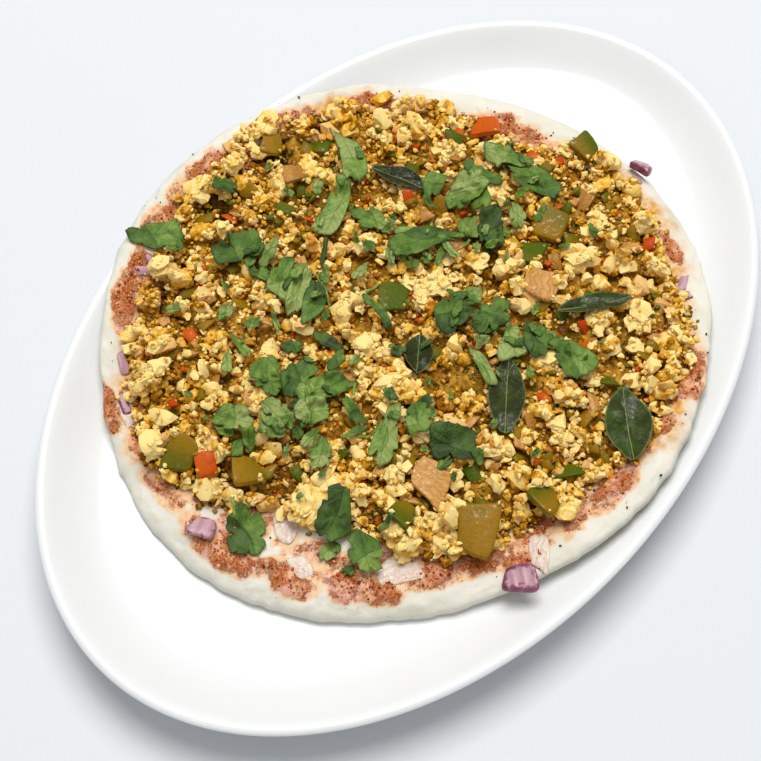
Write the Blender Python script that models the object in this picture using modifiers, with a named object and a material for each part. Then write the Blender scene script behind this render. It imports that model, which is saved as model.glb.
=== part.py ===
"""Rice and lentil uttapam with a paneer bhurji topping, lying on an oval coupe platter."""

import math
import random

import bpy
from mathutils import Vector
from mathutils.bvhtree import BVHTree

MM = 0.001
SEED = 41
GAP = 0.4

# Platter, in millimetres, long axis along X
PLATE_HALF_LONG = 152.5
PLATE_HALF_SHORT = 103.5
PLATE_SIDES = 60
PLATE_HALVINGS = 30
LIP_Z = 19.0
WELL_Z = 6.6
FOOT_INSET = 46.0
PLATE_UNDERSIDE = (
    (FOOT_INSET, 0.0),
    (45.0, 0.5),
    (44.0, 2.0),
    (30.0, 2.6),
    (20.0, 4.1),
    (13.0, 6.9),
    (8.0, 10.3),
    (4.0, 13.7),
    (1.2, 16.4),
)
PLATE_LIP = ((0.0, 17.5), (0.6, 18.5), (1.9, LIP_Z), (3.4, 18.6))
PLATE_INSIDE = (
    (6.0, 16.8),
    (10.0, 13.6),
    (14.0, 10.9),
    (18.0, 8.9),
    (22.5, 7.6),
    (30.0, 6.9),
)

# Bread, draped over the well and the slopes of the platter
BREAD_CENTRE = (0.0, 5.0)
BREAD_RADIUS = 105.3
BREAD_WAVES = ((1.6, -0.8), (4.5, -0.7), (-0.3, 0.1), (0.9, -0.2), (-0.8, 0.0), (-0.3, 0.1))
BREAD_SIDES = 72
BREAD_THICK = 7.0
BREAD_ROLL = 1.1
BREAD_ROLL_AT = 9.0
BREAD_EDGE = 4.4
BREAD_EDGE_SHARE = 0.35
BREAD_UNDER_LIFT = 1.0
BREAD_LOW = 7.4
BREAD_HIGH = 20.0
DRAPE_FROM = 28.5
DRAPE_TO = 1.5
BREAD_RINGS = (0.0, 0.5, 1.6, 3.4, 6.0, 9.0, 13.0, 19.0, 27.0, 38.0, 60.0)
BREAD_LOW_RINGS = (0.6, 2.4, 7.0, 13.0, 19.0, 27.0, 38.0, 60.0)

# Heap of crumbled paneer, vegetables and masala
HEAP_CENTRE = (-1.0, 8.0)
HEAP_RADIUS = 87.5
HEAP_WAVES = ((6.5, -2.8), (0.6, -3.6), (-0.5, 2.2), (-1.5, -2.4), (1.0, 0.6), (-1.7, -2.0))
HEAP_SIDES = 56
HEAP_RINGS = (0.0, 1.6, 5.0, 12.0, 21.0, 32.0, 45.0, 62.0)
HEAP_LOW_RINGS = (0.8, 6.0, 21.0, 45.0)
HEAP_GAP = 0.8
HEAP_EDGE_Z = 1.6
HEAP_RIM = 4.2
HEAP_CROWN = 7.6
HEAP_LUMP = 0.7
HEAP_SHOULDER = 14.0
HEAP_CROWN_AT = 62.0
LUMPS_ALONG = (0.21, 1.3, 0.13)
LUMPS_ACROSS = (0.24, 1.1, 0.16, 2.0)
LUMPS_SLANTED = (0.6, 0.11)
CRUMBS = 150
CRUMB_RADIUS = (2.6, 4.6)
CRUMB_JITTER = 0.18
CRUMB_SQUARE = 0.72
CRUMB_SINK = 0.15
CRUMB_HIGHEST = 0.5
CRUMB_OVER_BREAD = 0.5
CRUMB_FLATTEST = 0.9
CRUMB_CLEAR = 0.9
CRUMB_SPACING = 0.9
CRUMB_TRIES = 9000
CRUMB_EDGE = 6.0
CRUMB_EDGE_SIZE = 0.85
CRUMB_WIDTH = (0.7, 1.0)
CRUMB_HEIGHT = (0.6, 0.85)
CRUMB_TURN = 6.0

# Leaves and cut pieces
LEAF_THICK = 0.7
LEAF_POINTS = 18
LEAF_WAVE = 0.5
LEAF_NOTCH = 0.84
LEAF_BASE = 0.86
LEAF_BROAD = 0.3
LEAF_DROOP = 3.0
LEAF_DIP = 0.2
CURRY_THICK = 0.8
CURRY_POINTS = 16
CURRY_FOLD = 1.6
CURRY_TAPER = 0.32
DICE_BEVEL = 1.1
DICE_LEAN = 3.0
DICE_FOLLOW = 0.55
DICE_CORNER = (0.84, 1.04)
DICE_SHARP = 50.0
REST_STEPS = 4
DROP_FROM = 100.0

# Placings: x, y, heading in degrees, length, width
CORIANDER = (
    (-11, 65, 325, 17, 12),
    (-14, 45, 211, 20, 8),
    (-14, 37, 207, 20, 7),
    (-17, 29, 198, 18, 8),
    (21, 46, 192, 24, 9),
    (24, 34, 263, 16, 8),
    (-47, 26, 223, 14, 11),
    (-42, 18, 187, 14, 10),
    (-39, 9, 327, 20, 9),
    (-57, 15, 255, 13, 10),
    (-50, 7, 314, 12, 9),
    (-60, -4, 199, 11, 8),
    (-43, -17, 203, 21, 10),
    (-65, 26, 282, 14, 9),
    (-92, 2, 238, 16, 13),
    (-73, -19, 187, 15, 11),
    (-77, -32, 230, 15, 10),
    (49, 25, 340, 11, 9),
    (53, 14, 327, 16, 12),
    (43, -3, 221, 18, 9),
    (70, -3, 266, 22, 10),
    (74, 9, 288, 18, 9),
    (54, -7, 213, 12, 6),
    (27, 14, 148, 27, 9),
    (6, -10, 357, 18, 12),
    (13, -21, 337, 15, 11),
    (9, -32, 223, 13, 10),
    (14, -38, 237, 15, 11),
    (15, -52, 246, 17, 11),
    (-33, -37, 304, 16, 11),
    (-34, -23, 220, 12, 9),
    (-23, 91, 320, 18, 10),
    (45, 57, 232, 28, 9),
)
CURRY = (
    (45, 36, 275, 23, 9),
    (37, -47, 314, 25, 8),
    (-9, -41, 209, 28, 12),
    (5, -78, 217, 26, 15),
    (-12, -9, 209, 16, 10),
)
CAPSICUM = (
    (32, 82, 348, 11, 8, 4.0),
    (-84, 34, 293, 10, 11, 4.5),
    (-77, 13, 247, 11, 9, 4.0),
    (99, -9, 301, 10, 8, 4.5),
    (57, -18, 300, 10, 10, 4.5),
    (43, -18, 289, 9, 12, 3.0),
    (-52, -57, 327, 15, 13, 4.0),
    (1, 10, 259, 11, 13, 3.0),
    (-62, -36, 290, 8, 8, 5.5),
    (-32, -69, 315, 9, 9, 5.5),
)
TOMATO = ((-82, 25, 292, 8, 7, 4.5), (83, 24, 240, 11, 7, 4.0))
ONION = ((34, -28, 310, 11, 11, 3.2), (-48, -38, 309, 16, 9, 3.2), (26, 69, 348, 9, 10, 3.2))
RED_ONION = ((-98, 14, 283, 8, 8, 2.6), (-58, -77, 301, 12, 7, 2.4), (104, -30, 267, 8, 6, 3.0))

rng = random.Random(SEED)


# Clearing
for old in list(bpy.data.objects):
    bpy.data.objects.remove(old)
parts = bpy.data.collections.new("uttapam_on_platter")
bpy.context.scene.collection.children.link(parts)
helpers = bpy.data.collections.new("fused_crumbs")
bpy.context.scene.collection.children.link(helpers)
helpers.hide_render = True


def material(name, colour, roughness, coat=0.0):
    made = bpy.data.materials.new(name)
    made.use_nodes = True
    shader = made.node_tree.nodes["Principled BSDF"]
    shader.inputs["Base Color"].default_value = (*colour, 1.0)
    shader.inputs["Roughness"].default_value = roughness
    shader.inputs["Coat Weight"].default_value = coat
    return made


GLAZE = material("white_glaze", (0.87, 0.88, 0.86), 0.12, 0.6)
BREAD = material("bread", (0.78, 0.72, 0.62), 0.6)
PANEER = material("paneer_masala", (0.78, 0.50, 0.16), 0.5)
GREEN = material("coriander", (0.10, 0.28, 0.08), 0.5)
DARK = material("curry_leaf", (0.02, 0.05, 0.02), 0.2, 0.4)
PEPPER = material("capsicum", (0.27, 0.27, 0.03), 0.25, 0.3)
RED = material("tomato", (0.72, 0.12, 0.03), 0.25, 0.3)
TAN = material("cooked_onion", (0.62, 0.34, 0.14), 0.3, 0.2)
PURPLE = material("red_onion", (0.35, 0.08, 0.20), 0.3, 0.2)


def mesh_object(name, points, faces, look, collection=parts):
    """A mesh from points in millimetres, with its faces turned outward."""
    data = bpy.data.meshes.new(name)
    data.from_pydata([tuple(c * MM for c in p) for p in points], [], faces)
    data.update()
    made = bpy.data.objects.new(name, data)
    made.data.materials.append(look)
    collection.objects.link(made)
    return made


def surface_of(obj):
    """The evaluated mesh of an object as a search tree, in millimetres."""
    bpy.context.view_layer.update()
    graph = bpy.context.evaluated_depsgraph_get()
    evaluated = obj.evaluated_get(graph)
    mesh = evaluated.to_mesh()
    mesh.calc_loop_triangles()
    points = [v.co / MM for v in mesh.vertices]
    faces = [tuple(t.vertices) for t in mesh.loop_triangles]
    evaluated.to_mesh_clear()
    return BVHTree.FromPolygons(points, faces)


# Lofts: rings of equal count joined in order and closed by two middles
def loft(rings, first_middle, last_middle):
    points = [first_middle]
    for ring in rings:
        points.extend(ring)
    points.append(last_middle)
    count = len(rings[0])
    faces = []
    for i in range(count):
        faces.append((0, 1 + (i + 1) % count, 1 + i))
    for k in range(len(rings) - 1):
        low, high = 1 + k * count, 1 + (k + 1) * count
        for i in range(count):
            j = (i + 1) % count
            faces.append((low + i, low + j, high + j))
            faces.append((low + i, high + j, high + i))
    last, top = 1 + (len(rings) - 1) * count, len(points) - 1
    for i in range(count):
        faces.append((last + i, last + (i + 1) % count, top))
    return points, faces


# Platter
def ellipse(inset, z):
    turns = [2 * math.pi * i / PLATE_SIDES for i in range(PLATE_SIDES)]
    long_axis, short_axis = PLATE_HALF_LONG - inset, PLATE_HALF_SHORT - inset
    return [(long_axis * math.cos(t), short_axis * math.sin(t), z) for t in turns]


def inward(x, y):
    """Distance from the lip to a point inside it, measured between the platter's own ellipses."""
    low, high = -PLATE_HALF_SHORT, PLATE_HALF_SHORT - 0.1
    for _ in range(PLATE_HALVINGS):
        mid = (low + high) / 2
        if (x / (PLATE_HALF_LONG - mid)) ** 2 + (y / (PLATE_HALF_SHORT - mid)) ** 2 > 1:
            high = mid
        else:
            low = mid
    return (low + high) / 2


plate_profile = PLATE_UNDERSIDE + PLATE_LIP + PLATE_INSIDE
plate_points, plate_faces = loft(
    [ellipse(inset, z) for inset, z in plate_profile], (0.0, 0.0, 0.0), (0.0, 0.0, WELL_Z)
)
mesh_object("platter", plate_points, plate_faces, GLAZE)


# Bread
def bread_under(x, y):
    """Height of the underside: level in the well, eased up the slope and level past the lip."""
    share = (DRAPE_FROM - inward(x, y)) / (DRAPE_FROM - DRAPE_TO)
    share = min(max(share, 0.0), 1.0)
    return BREAD_LOW + (BREAD_HIGH - BREAD_LOW) * share * share * (3 - 2 * share)


def bread_thickness(inset):
    """Thickness at a distance from the edge: rounded, a low roll, then even."""
    rounded = math.sqrt(max(0.0, 1 - (1 - min(inset / BREAD_EDGE, 1.0)) ** 2))
    roll = BREAD_ROLL * math.exp(-(((inset - BREAD_ROLL_AT) / BREAD_ROLL_AT) ** 2))
    share = BREAD_EDGE_SHARE + (1 - BREAD_EDGE_SHARE) * rounded
    return BREAD_THICK * share + roll * rounded


def waved(radius, waves, turn):
    extra = 0.0
    for k, (along, across) in enumerate(waves, start=1):
        extra += along * math.cos(k * turn) + across * math.sin(k * turn)
    return radius + extra


def outline(centre, radius, waves, sides, inset):
    """Plan points of a waved outline, brought in by the inset."""
    plan = []
    for i in range(sides):
        turn = 2 * math.pi * i / sides
        reach = waved(radius, waves, turn)
        reach = radius * max(0.0, 1 - inset / radius) + (reach - radius) * (1 - inset / radius)
        plan.append((centre[0] + reach * math.cos(turn), centre[1] + reach * math.sin(turn)))
    return plan


def bread_top(x, y):
    """Height of the upper side, from the distance to the waved edge."""
    dx, dy = x - BREAD_CENTRE[0], y - BREAD_CENTRE[1]
    reach = math.hypot(dx, dy)
    edge = waved(BREAD_RADIUS, BREAD_WAVES, math.atan2(dy, dx))
    return bread_under(x, y) + bread_thickness(BREAD_RADIUS * (1 - reach / edge))


bread_rings = []
for inset in reversed(BREAD_LOW_RINGS):
    plan = outline(BREAD_CENTRE, BREAD_RADIUS, BREAD_WAVES, BREAD_SIDES, inset)
    lift = BREAD_UNDER_LIFT if inset < 1 else 0.0
    bread_rings.append([(x, y, bread_under(x, y) + lift) for x, y in plan])
for inset in BREAD_RINGS:
    plan = outline(BREAD_CENTRE, BREAD_RADIUS, BREAD_WAVES, BREAD_SIDES, inset)
    bread_rings.append([(x, y, bread_under(x, y) + bread_thickness(inset)) for x, y in plan])
cx, cy = BREAD_CENTRE
bread_points, bread_faces = loft(
    bread_rings,
    (cx, cy, bread_under(cx, cy)),
    (cx, cy, bread_under(cx, cy) + bread_thickness(BREAD_RADIUS)),
)
bread = mesh_object("uttapam", bread_points, bread_faces, BREAD)
bread_surface = surface_of(bread)


def drop(surfaces, x, y, default):
    """Highest of the surfaces under a point."""
    best = default
    for surface in surfaces:
        hit = surface.ray_cast(Vector((x, y, DROP_FROM)), Vector((0, 0, -1)))
        if hit[0] is not None and hit[0].z > best:
            best = hit[0].z
    return best


# Heap: the bare core first
def heap_lumps(x, y):
    """Low lumps from three crossing waves, two of them bent by a wave of their own."""
    a, bend_a, turn_a = LUMPS_ALONG
    b, bend_b, turn_b, start = LUMPS_ACROSS
    size, slant = LUMPS_SLANTED
    along = math.sin(x * a + bend_a * math.sin(y * turn_a))
    across = math.sin(y * b + bend_b * math.sin(x * turn_b) + start)
    return along + across + size * math.sin((x + y) * slant)


def heap_top(x, y, inset):
    """Height of the heap: a steep shoulder, a low crown and the lumps."""
    share = min(inset / HEAP_SHOULDER, 1.0)
    crown = min(inset / HEAP_CROWN_AT, 1.0)
    rise = HEAP_EDGE_Z + HEAP_RIM * math.sin(share * math.pi / 2)
    rise += (HEAP_CROWN - HEAP_RIM) * math.sin(crown * math.pi / 2)
    return bread_top(x, y) + rise + HEAP_LUMP * share * heap_lumps(x, y)


heap_rings = []
for inset in reversed(HEAP_LOW_RINGS):
    plan = outline(HEAP_CENTRE, HEAP_RADIUS, HEAP_WAVES, HEAP_SIDES, inset)
    ring = []
    for x, y in plan:
        ring.append((x, y, drop([bread_surface], x, y, 0.0) + HEAP_GAP))
    heap_rings.append(ring)
for inset in HEAP_RINGS:
    plan = outline(HEAP_CENTRE, HEAP_RADIUS, HEAP_WAVES, HEAP_SIDES, inset)
    heap_rings.append([(x, y, heap_top(x, y, inset)) for x, y in plan])
hx, hy = HEAP_CENTRE
heap_points, heap_faces = loft(
    heap_rings,
    (hx, hy, drop([bread_surface], hx, hy, 0.0) + HEAP_GAP),
    (hx, hy, heap_top(hx, hy, HEAP_RADIUS)),
)
heap = mesh_object("paneer_bhurji", heap_points, heap_faces, PANEER)
heap_surface = surface_of(heap)

placed = [bread_surface, heap_surface]


# Pieces resting on the highest thing under them
def triangulated(faces):
    for face in faces:
        for k in range(1, len(face) - 1):
            yield face[0], face[k], face[k + 1]


def rest(name, points, faces, under_count, look):
    """Lowers or lifts the piece until its lower side clears all that lies under it by the gap."""
    lowest = None
    steps = REST_STEPS
    for a, b, c in triangulated(faces):
        if max(a, b, c) >= under_count:
            continue
        pa, pb, pc = points[a], points[b], points[c]
        for i in range(steps + 1):
            for j in range(steps + 1 - i):
                u, v = i / steps, j / steps
                w = 1 - u - v
                x = pa[0] * u + pb[0] * v + pc[0] * w
                y = pa[1] * u + pb[1] * v + pc[1] * w
                z = pa[2] * u + pb[2] * v + pc[2] * w
                room = z - drop(placed, x, y, 0.0)
                lowest = room if lowest is None else min(lowest, room)
    shift = GAP - lowest
    moved = [(x, y, z + shift) for x, y, z in points]
    made = mesh_object(name, moved, faces, look)
    placed.append(surface_of(made))
    return made


def leaf_sheet(rim, middle, thickness):
    """A thin solid between two equal fans of triangles over one rim."""
    count = len(rim)
    points = [middle, *rim]
    points += [(x, y, z + thickness) for x, y, z in points]
    faces = []
    for i in range(count):
        j = (i + 1) % count
        low_i, low_j = 1 + i, 1 + j
        high_i, high_j = low_i + count + 1, low_j + count + 1
        faces.append((0, low_j, low_i))
        faces.append((count + 1, high_i, high_j))
        faces.append((low_i, low_j, high_j))
        faces.append((low_i, high_j, high_i))
    return points, faces, count + 1


def to_place(x, y, heading, along, across):
    turn = math.radians(heading)
    return (
        x + along * math.cos(turn) - across * math.sin(turn),
        y + along * math.sin(turn) + across * math.cos(turn),
    )


def coriander(index, x, y, heading, length, width):
    """A leaflet with notched lobes, broader toward its tip, following the heap with a slight wave."""
    rim = []
    phase = rng.uniform(0, 2 * math.pi)
    for i in range(LEAF_POINTS):
        turn = 2 * math.pi * i / LEAF_POINTS
        notch = 1.0 if i % 2 == 0 else LEAF_NOTCH
        broad = LEAF_BASE + LEAF_BROAD * math.cos(turn)
        along = length / 2 * notch * math.cos(turn)
        across = width / 2 * notch * broad * math.sin(turn)
        px, py = to_place(x, y, heading, along, across)
        ground = drop(placed, px, py, drop(placed, x, y, 0.0) - LEAF_DROOP)
        rim.append((px, py, ground + LEAF_WAVE * math.sin(2 * turn + phase)))
    middle = (x, y, drop(placed, x, y, 0.0) - LEAF_DIP)
    sheet = leaf_sheet(rim, middle, LEAF_THICK)
    return rest(f"coriander_{index:02d}", *sheet, GREEN)


def curry_leaf(index, x, y, heading, length, width):
    """A pointed oval, folded along its middle rib."""
    rim = []
    for i in range(CURRY_POINTS):
        turn = 2 * math.pi * i / CURRY_POINTS
        along = length / 2 * math.cos(turn)
        across = width / 2 * math.sin(turn) * (1 - CURRY_TAPER * math.cos(turn) ** 2)
        px, py = to_place(x, y, heading, along, across)
        ground = drop(placed, px, py, drop(placed, x, y, 0.0) - LEAF_DROOP)
        rim.append((px, py, ground + CURRY_FOLD * abs(math.sin(turn))))
    middle = (x, y, drop(placed, x, y, 0.0))
    sheet = leaf_sheet(rim, middle, CURRY_THICK)
    return rest(f"curry_leaf_{index}", *sheet, DARK)


def dice(name, x, y, heading, length, width, height, look):
    """A cut piece with uneven corners, resting as it lies on the heap or the bread."""
    corners = []
    for side in (0, 1):
        for along, across in ((-1, -1), (1, -1), (1, 1), (-1, 1)):
            a = along * length / 2 * rng.uniform(*DICE_CORNER)
            b = across * width / 2 * rng.uniform(*DICE_CORNER)
            corners.append((*to_place(x, y, heading, a, b), side))
    base = []
    for px, py, side in corners[:4]:
        base.append(drop(placed, px, py, 0.0))
    level = sorted(base)[2]
    points = []
    for k, (px, py, side) in enumerate(corners):
        lean = min(max(base[k % 4] - level, -DICE_LEAN), DICE_LEAN)
        points.append((px, py, level + DICE_FOLLOW * lean + side * height))
    faces = [(0, 2, 1), (0, 3, 2), (4, 5, 6), (4, 6, 7)]
    for k in range(4):
        j = (k + 1) % 4
        faces.append((k, j, j + 4, k + 4))
    made = rest(name, points, faces, 4, look)
    bevel = made.modifiers.new("rounded", "BEVEL")
    bevel.width = DICE_BEVEL * MM
    bevel.segments = 1
    bevel.limit_method = "ANGLE"
    bevel.angle_limit = math.radians(DICE_SHARP)
    return made


footprints = []
for index, row in enumerate(ONION, start=1):
    dice(f"cooked_onion_{index}", *row, TAN)
    footprints.append(row[:5])
for index, row in enumerate(CAPSICUM, start=1):
    dice(f"capsicum_{index:02d}", *row, PEPPER)
    footprints.append(row[:5])
for index, row in enumerate(TOMATO, start=1):
    dice(f"tomato_{index}", *row, RED)
    footprints.append(row[:5])
for index, row in enumerate(RED_ONION, start=1):
    dice(f"red_onion_{index}", *row, PURPLE)
    footprints.append(row[:5])
for index, row in enumerate(CURRY, start=1):
    curry_leaf(index, *row)
    footprints.append(row)
for index, row in enumerate(CORIANDER, start=1):
    coriander(index, *row)
    footprints.append(row)


# Crumbs fused on to the core, clear of every piece laid on it
def clear_of_pieces(x, y, margin):
    for fx, fy, heading, length, width in footprints:
        turn = math.radians(heading)
        along = (x - fx) * math.cos(turn) + (y - fy) * math.sin(turn)
        across = -(x - fx) * math.sin(turn) + (y - fy) * math.cos(turn)
        out_along = max(abs(along) - length / 2, 0.0)
        out_across = max(abs(across) - width / 2, 0.0)
        if math.hypot(out_along, out_across) < margin:
            return False
    return True


def crumb(index, x, y, z, radius):
    """An angular lump: a cube with each corner moved a little."""
    bpy.ops.mesh.primitive_cube_add(size=2 * radius * MM * CRUMB_SQUARE)
    made = bpy.context.object
    made.name = f"crumb_{index:03d}"
    for vertex in made.data.vertices:
        vertex.co *= rng.uniform(1 - CRUMB_JITTER, 1 + CRUMB_JITTER)
    made.location = (x * MM, y * MM, z * MM)
    made.rotation_euler = [rng.uniform(0, CRUMB_TURN) for _ in range(3)]
    made.scale = (1.0, rng.uniform(*CRUMB_WIDTH), rng.uniform(*CRUMB_HEIGHT))
    bpy.context.collection.objects.unlink(made)
    helpers.objects.link(made)
    return made


crumbs = []
spots = []
tries = 0
while len(spots) < CRUMBS and tries < CRUMB_TRIES:
    tries += 1
    turn = rng.uniform(0, 2 * math.pi)
    inset = HEAP_RADIUS * (1 - math.sqrt(rng.random()))
    edge = waved(HEAP_RADIUS, HEAP_WAVES, turn)
    reach = edge * (1 - inset / HEAP_RADIUS)
    x = HEAP_CENTRE[0] + reach * math.cos(turn)
    y = HEAP_CENTRE[1] + reach * math.sin(turn)
    radius = rng.uniform(*CRUMB_RADIUS) * (1.0 if inset > CRUMB_EDGE else CRUMB_EDGE_SIZE)
    wide = radius * CRUMB_SQUARE * math.sqrt(3) * (1 + CRUMB_JITTER)
    if not clear_of_pieces(x, y, wide + CRUMB_CLEAR):
        continue
    if any(math.hypot(x - sx, y - sy) < CRUMB_SPACING * (radius + sr) for sx, sy, sr in spots):
        continue
    core = drop([heap_surface], x, y, 0.0)
    over_bread = bread_top(x, y) + GAP + CRUMB_OVER_BREAD + wide * CRUMB_FLATTEST
    z = max(core + CRUMB_SINK * radius, over_bread)
    if z > core + CRUMB_HIGHEST * radius:
        continue
    spots.append((x, y, radius))
    crumbs.append(crumb(len(crumbs), x, y, z, radius))

join = heap.modifiers.new("crumbs", "BOOLEAN")
join.operation = "UNION"
join.operand_type = "COLLECTION"
join.collection = helpers
join.solver = "EXACT"
join.use_self = True
bpy.context.view_layer.update()
bpy.context.view_layer.objects.active = heap
bpy.ops.object.modifier_apply(modifier=join.name)
for piece in crumbs:
    bpy.data.objects.remove(piece)
bpy.data.collections.remove(helpers)
print("crumbs fused:", len(spots), "faces:", len(heap.data.polygons))
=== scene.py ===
"""Uttapam with a paneer bhurji topping on an oval platter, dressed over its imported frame."""

import math

import bmesh
import bpy
import numpy as np
from mathutils import Matrix, Vector


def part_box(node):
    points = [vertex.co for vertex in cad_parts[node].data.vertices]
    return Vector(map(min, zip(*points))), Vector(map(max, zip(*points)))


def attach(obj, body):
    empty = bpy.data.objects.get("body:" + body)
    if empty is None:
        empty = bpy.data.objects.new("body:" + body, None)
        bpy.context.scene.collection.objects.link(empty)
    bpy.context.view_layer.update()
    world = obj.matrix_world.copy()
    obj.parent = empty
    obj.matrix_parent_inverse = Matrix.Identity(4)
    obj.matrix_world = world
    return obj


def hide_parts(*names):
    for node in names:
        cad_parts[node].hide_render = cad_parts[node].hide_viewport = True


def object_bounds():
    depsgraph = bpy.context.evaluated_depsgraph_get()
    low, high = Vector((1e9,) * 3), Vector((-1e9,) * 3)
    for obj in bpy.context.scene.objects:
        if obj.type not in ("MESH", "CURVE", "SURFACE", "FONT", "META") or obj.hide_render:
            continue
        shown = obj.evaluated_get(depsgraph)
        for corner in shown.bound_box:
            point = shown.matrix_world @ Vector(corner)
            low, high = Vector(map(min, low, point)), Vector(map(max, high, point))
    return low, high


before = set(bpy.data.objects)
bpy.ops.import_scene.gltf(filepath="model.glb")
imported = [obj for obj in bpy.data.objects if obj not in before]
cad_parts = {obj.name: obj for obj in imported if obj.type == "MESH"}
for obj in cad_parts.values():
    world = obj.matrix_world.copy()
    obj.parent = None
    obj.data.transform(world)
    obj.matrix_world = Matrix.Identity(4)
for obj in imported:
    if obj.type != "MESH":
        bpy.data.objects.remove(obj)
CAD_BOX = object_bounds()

bl_info = {
    "name": "Uttapam on a platter",
    "version": (1, 0, 0),
    "blender": (4, 5, 0),
    "location": "View3D > Sidebar > Uttapam",
    "description": "Builds the uttapam, its topping and its platter over the packed frame",
    "category": "Object",
}

MM = 0.001
CEILING = CAD_BOX[1][2] / MM - 0.25
CRUMB_CEILING = CEILING - 0.8

# Shapes shared with the solids, in millimetres
PLATE_HALF_LONG = 152.5
PLATE_HALF_SHORT = 103.5
PLATE_PROFILE = (
    (46.0, 0.0), (45.0, 0.5), (44.0, 2.0), (30.0, 2.6), (20.0, 4.1), (13.0, 6.9), (8.0, 10.3),
    (4.0, 13.7), (1.2, 16.4), (0.0, 17.5), (0.6, 18.5), (1.9, 19.0), (3.4, 18.6), (6.0, 16.8),
    (10.0, 13.6), (14.0, 10.9), (18.0, 8.9), (22.5, 7.6), (30.0, 6.9), (60.0, 6.6),
)
WELL_Z = 6.6
BREAD_CENTRE = (0.0, 5.0)
BREAD_WAVES = ((1.6, -0.8), (4.5, -0.7), (-0.3, 0.1), (0.9, -0.2), (-0.8, 0.0), (-0.3, 0.1))
BREAD_ROLL = 0.5
BREAD_ROLL_AT = 9.0
BREAD_EDGE = 10.5
BREAD_EDGE_SHARE = 0.17
BREAD_LOW = 7.4
BREAD_HIGH = 20.0
DRAPE_FROM = 28.5
DRAPE_TO = 1.5
HEAP_CENTRE = (-1.0, 8.0)
HEAP_WAVES = ((6.5, -2.8), (0.6, -3.6), (-0.5, 2.2), (-1.5, -2.4), (1.0, 0.6), (-1.7, -2.0))
HEAP_EDGE_Z = 1.6
HEAP_RIM = 4.2
HEAP_CROWN = 7.6
HEAP_LUMP = 0.7
HEAP_SLOPE = 14.0
HEAP_DOME = 62.0
SPILL_ALL_ROUND = 0.8

# Spans along x and y where further pieces are drawn, the size of a large chunk in millimetres, and counts
ALONG, ACROSS = (-88, 88), (-88, 96)
LARGE_CHUNK = 7
LUMP_GROUPS = 520
GRAIN_GROUPS = 1500
LOOSE_SHREDS = 46
BREAD_TURNS = 640
CORE_TURNS = 600
CORE_FLOOR_RING = 60
LEAF_TURNS = 96
SHRED_TURNS = 28
STALK_RINGS = 14
STALK_TURNS = 10

# Crumbs spilled past the edge of the topping, or kept back from it: middle angle, half angle, reach
SPILLS = (
    (120, 14, 3.6), (68, 10, 5.0), (22, 8, 3.6), (-13, 8, 3.4), (-60, 9, 4.0), (-125, 18, 3.6),
    (-167, 7, 6.5), (176, 8, 6.5), (162, 6, 4.0), (5, 9, -4.6),
)

# Placings on the platter: x, y, heading in degrees, length, width
CORIANDER = (
    (-11, 65, 325, 17, 12), (-14, 45, 211, 20, 8), (-14, 37, 207, 20, 7), (-17, 29, 198, 18, 8),
    (21, 46, 192, 24, 9), (24, 34, 263, 16, 8), (-47, 26, 223, 14, 11), (-42, 18, 187, 14, 10),
    (-39, 9, 327, 20, 9), (-57, 15, 255, 13, 10), (-50, 7, 314, 12, 9), (-60, -4, 199, 11, 8),
    (-43, -17, 203, 21, 10), (-65, 26, 282, 14, 9), (-92, 2, 238, 16, 13), (-73, -19, 187, 15, 11),
    (-77, -32, 230, 15, 10), (49, 25, 340, 11, 9), (53, 14, 327, 16, 12), (43, -3, 221, 18, 9),
    (70, -3, 266, 22, 10), (74, 9, 288, 18, 9), (54, -7, 213, 12, 6), (27, 14, 148, 27, 9),
    (6, -10, 357, 18, 12), (13, -21, 337, 15, 11), (9, -32, 223, 13, 10), (14, -38, 237, 15, 11),
    (15, -52, 246, 17, 11), (-33, -37, 304, 16, 11), (-34, -23, 220, 12, 9), (-23, 91, 320, 18, 10),
    (45, 57, 232, 28, 9),
)
CURRY = (
    (45, 36, 275, 23, 9), (37, -47, 314, 25, 8), (-9, -41, 209, 28, 12), (5, -78, 217, 26, 15),
    (-12, -9, 209, 16, 10),
)
SHREDS = (
    (-7, 55, 359, 10, 5), (-16, 52, 262, 13, 7), (3, 39, 205, 11, 2), (-5, 33, 215, 6, 4),
    (3, 24, 184, 8, 4), (-7, 10, 249, 15, 3), (-34, 53, 217, 7, 5),
    (-42, 41, 254, 10, 3), (-49, 41, 217, 8, 4), (-33, 42, 317, 6, 3), (-25, 18, 272, 11, 5),
    (-32, 27, 303, 8, 5), (-16, -4, 214, 7, 5), (-30, 11, 215, 6, 6), (-27, 6, 359, 5, 3),
    (-49, 12, 333, 9, 4), (-62, 13, 274, 9, 5), (-57, 7, 216, 5, 4),
    (-72, 20, 212, 8, 4), (-57, 2, 177, 9, 3), (-42, -4, 251, 11, 4), (-48, -8, 153, 9, 3),
    (-82, -22, 159, 8, 6), (-84, -31, 231, 4, 4), (61, 9, 289, 10, 8),
    (51, 6, 205, 9, 7), (41, 5, 243, 9, 7), (27, 21, 312, 9, 5), (13, 19, 229, 6, 3),
    (17, 17, 214, 5, 4), (17, 12, 213, 5, 4), (22, 10, 220, 6, 4), (25, 6, 193, 11, 3),
    (33, -3, 212, 6, 3), (36, -6, 219, 5, 3), (17, -12, 305, 6, 6), (12, -23, 6, 14, 5),
    (-4, -29, 238, 15, 5), (11, -57, 245, 5, 4), (-29, -21, 336, 8, 4), (7, 84, 309, 8, 5),
    (26, 58, 213, 7, 4), (28, 5, 245, 11, 3), (18, -42, 310, 9, 3),
)
STEMS = (
    (0, 19, 338, 9), (-35, 0, 207, 7), (-88, 10, 225, 6), (-9, 31, 236, 12), (33, 16, 20, 9),
    (-45, -12, 320, 8),
)
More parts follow.
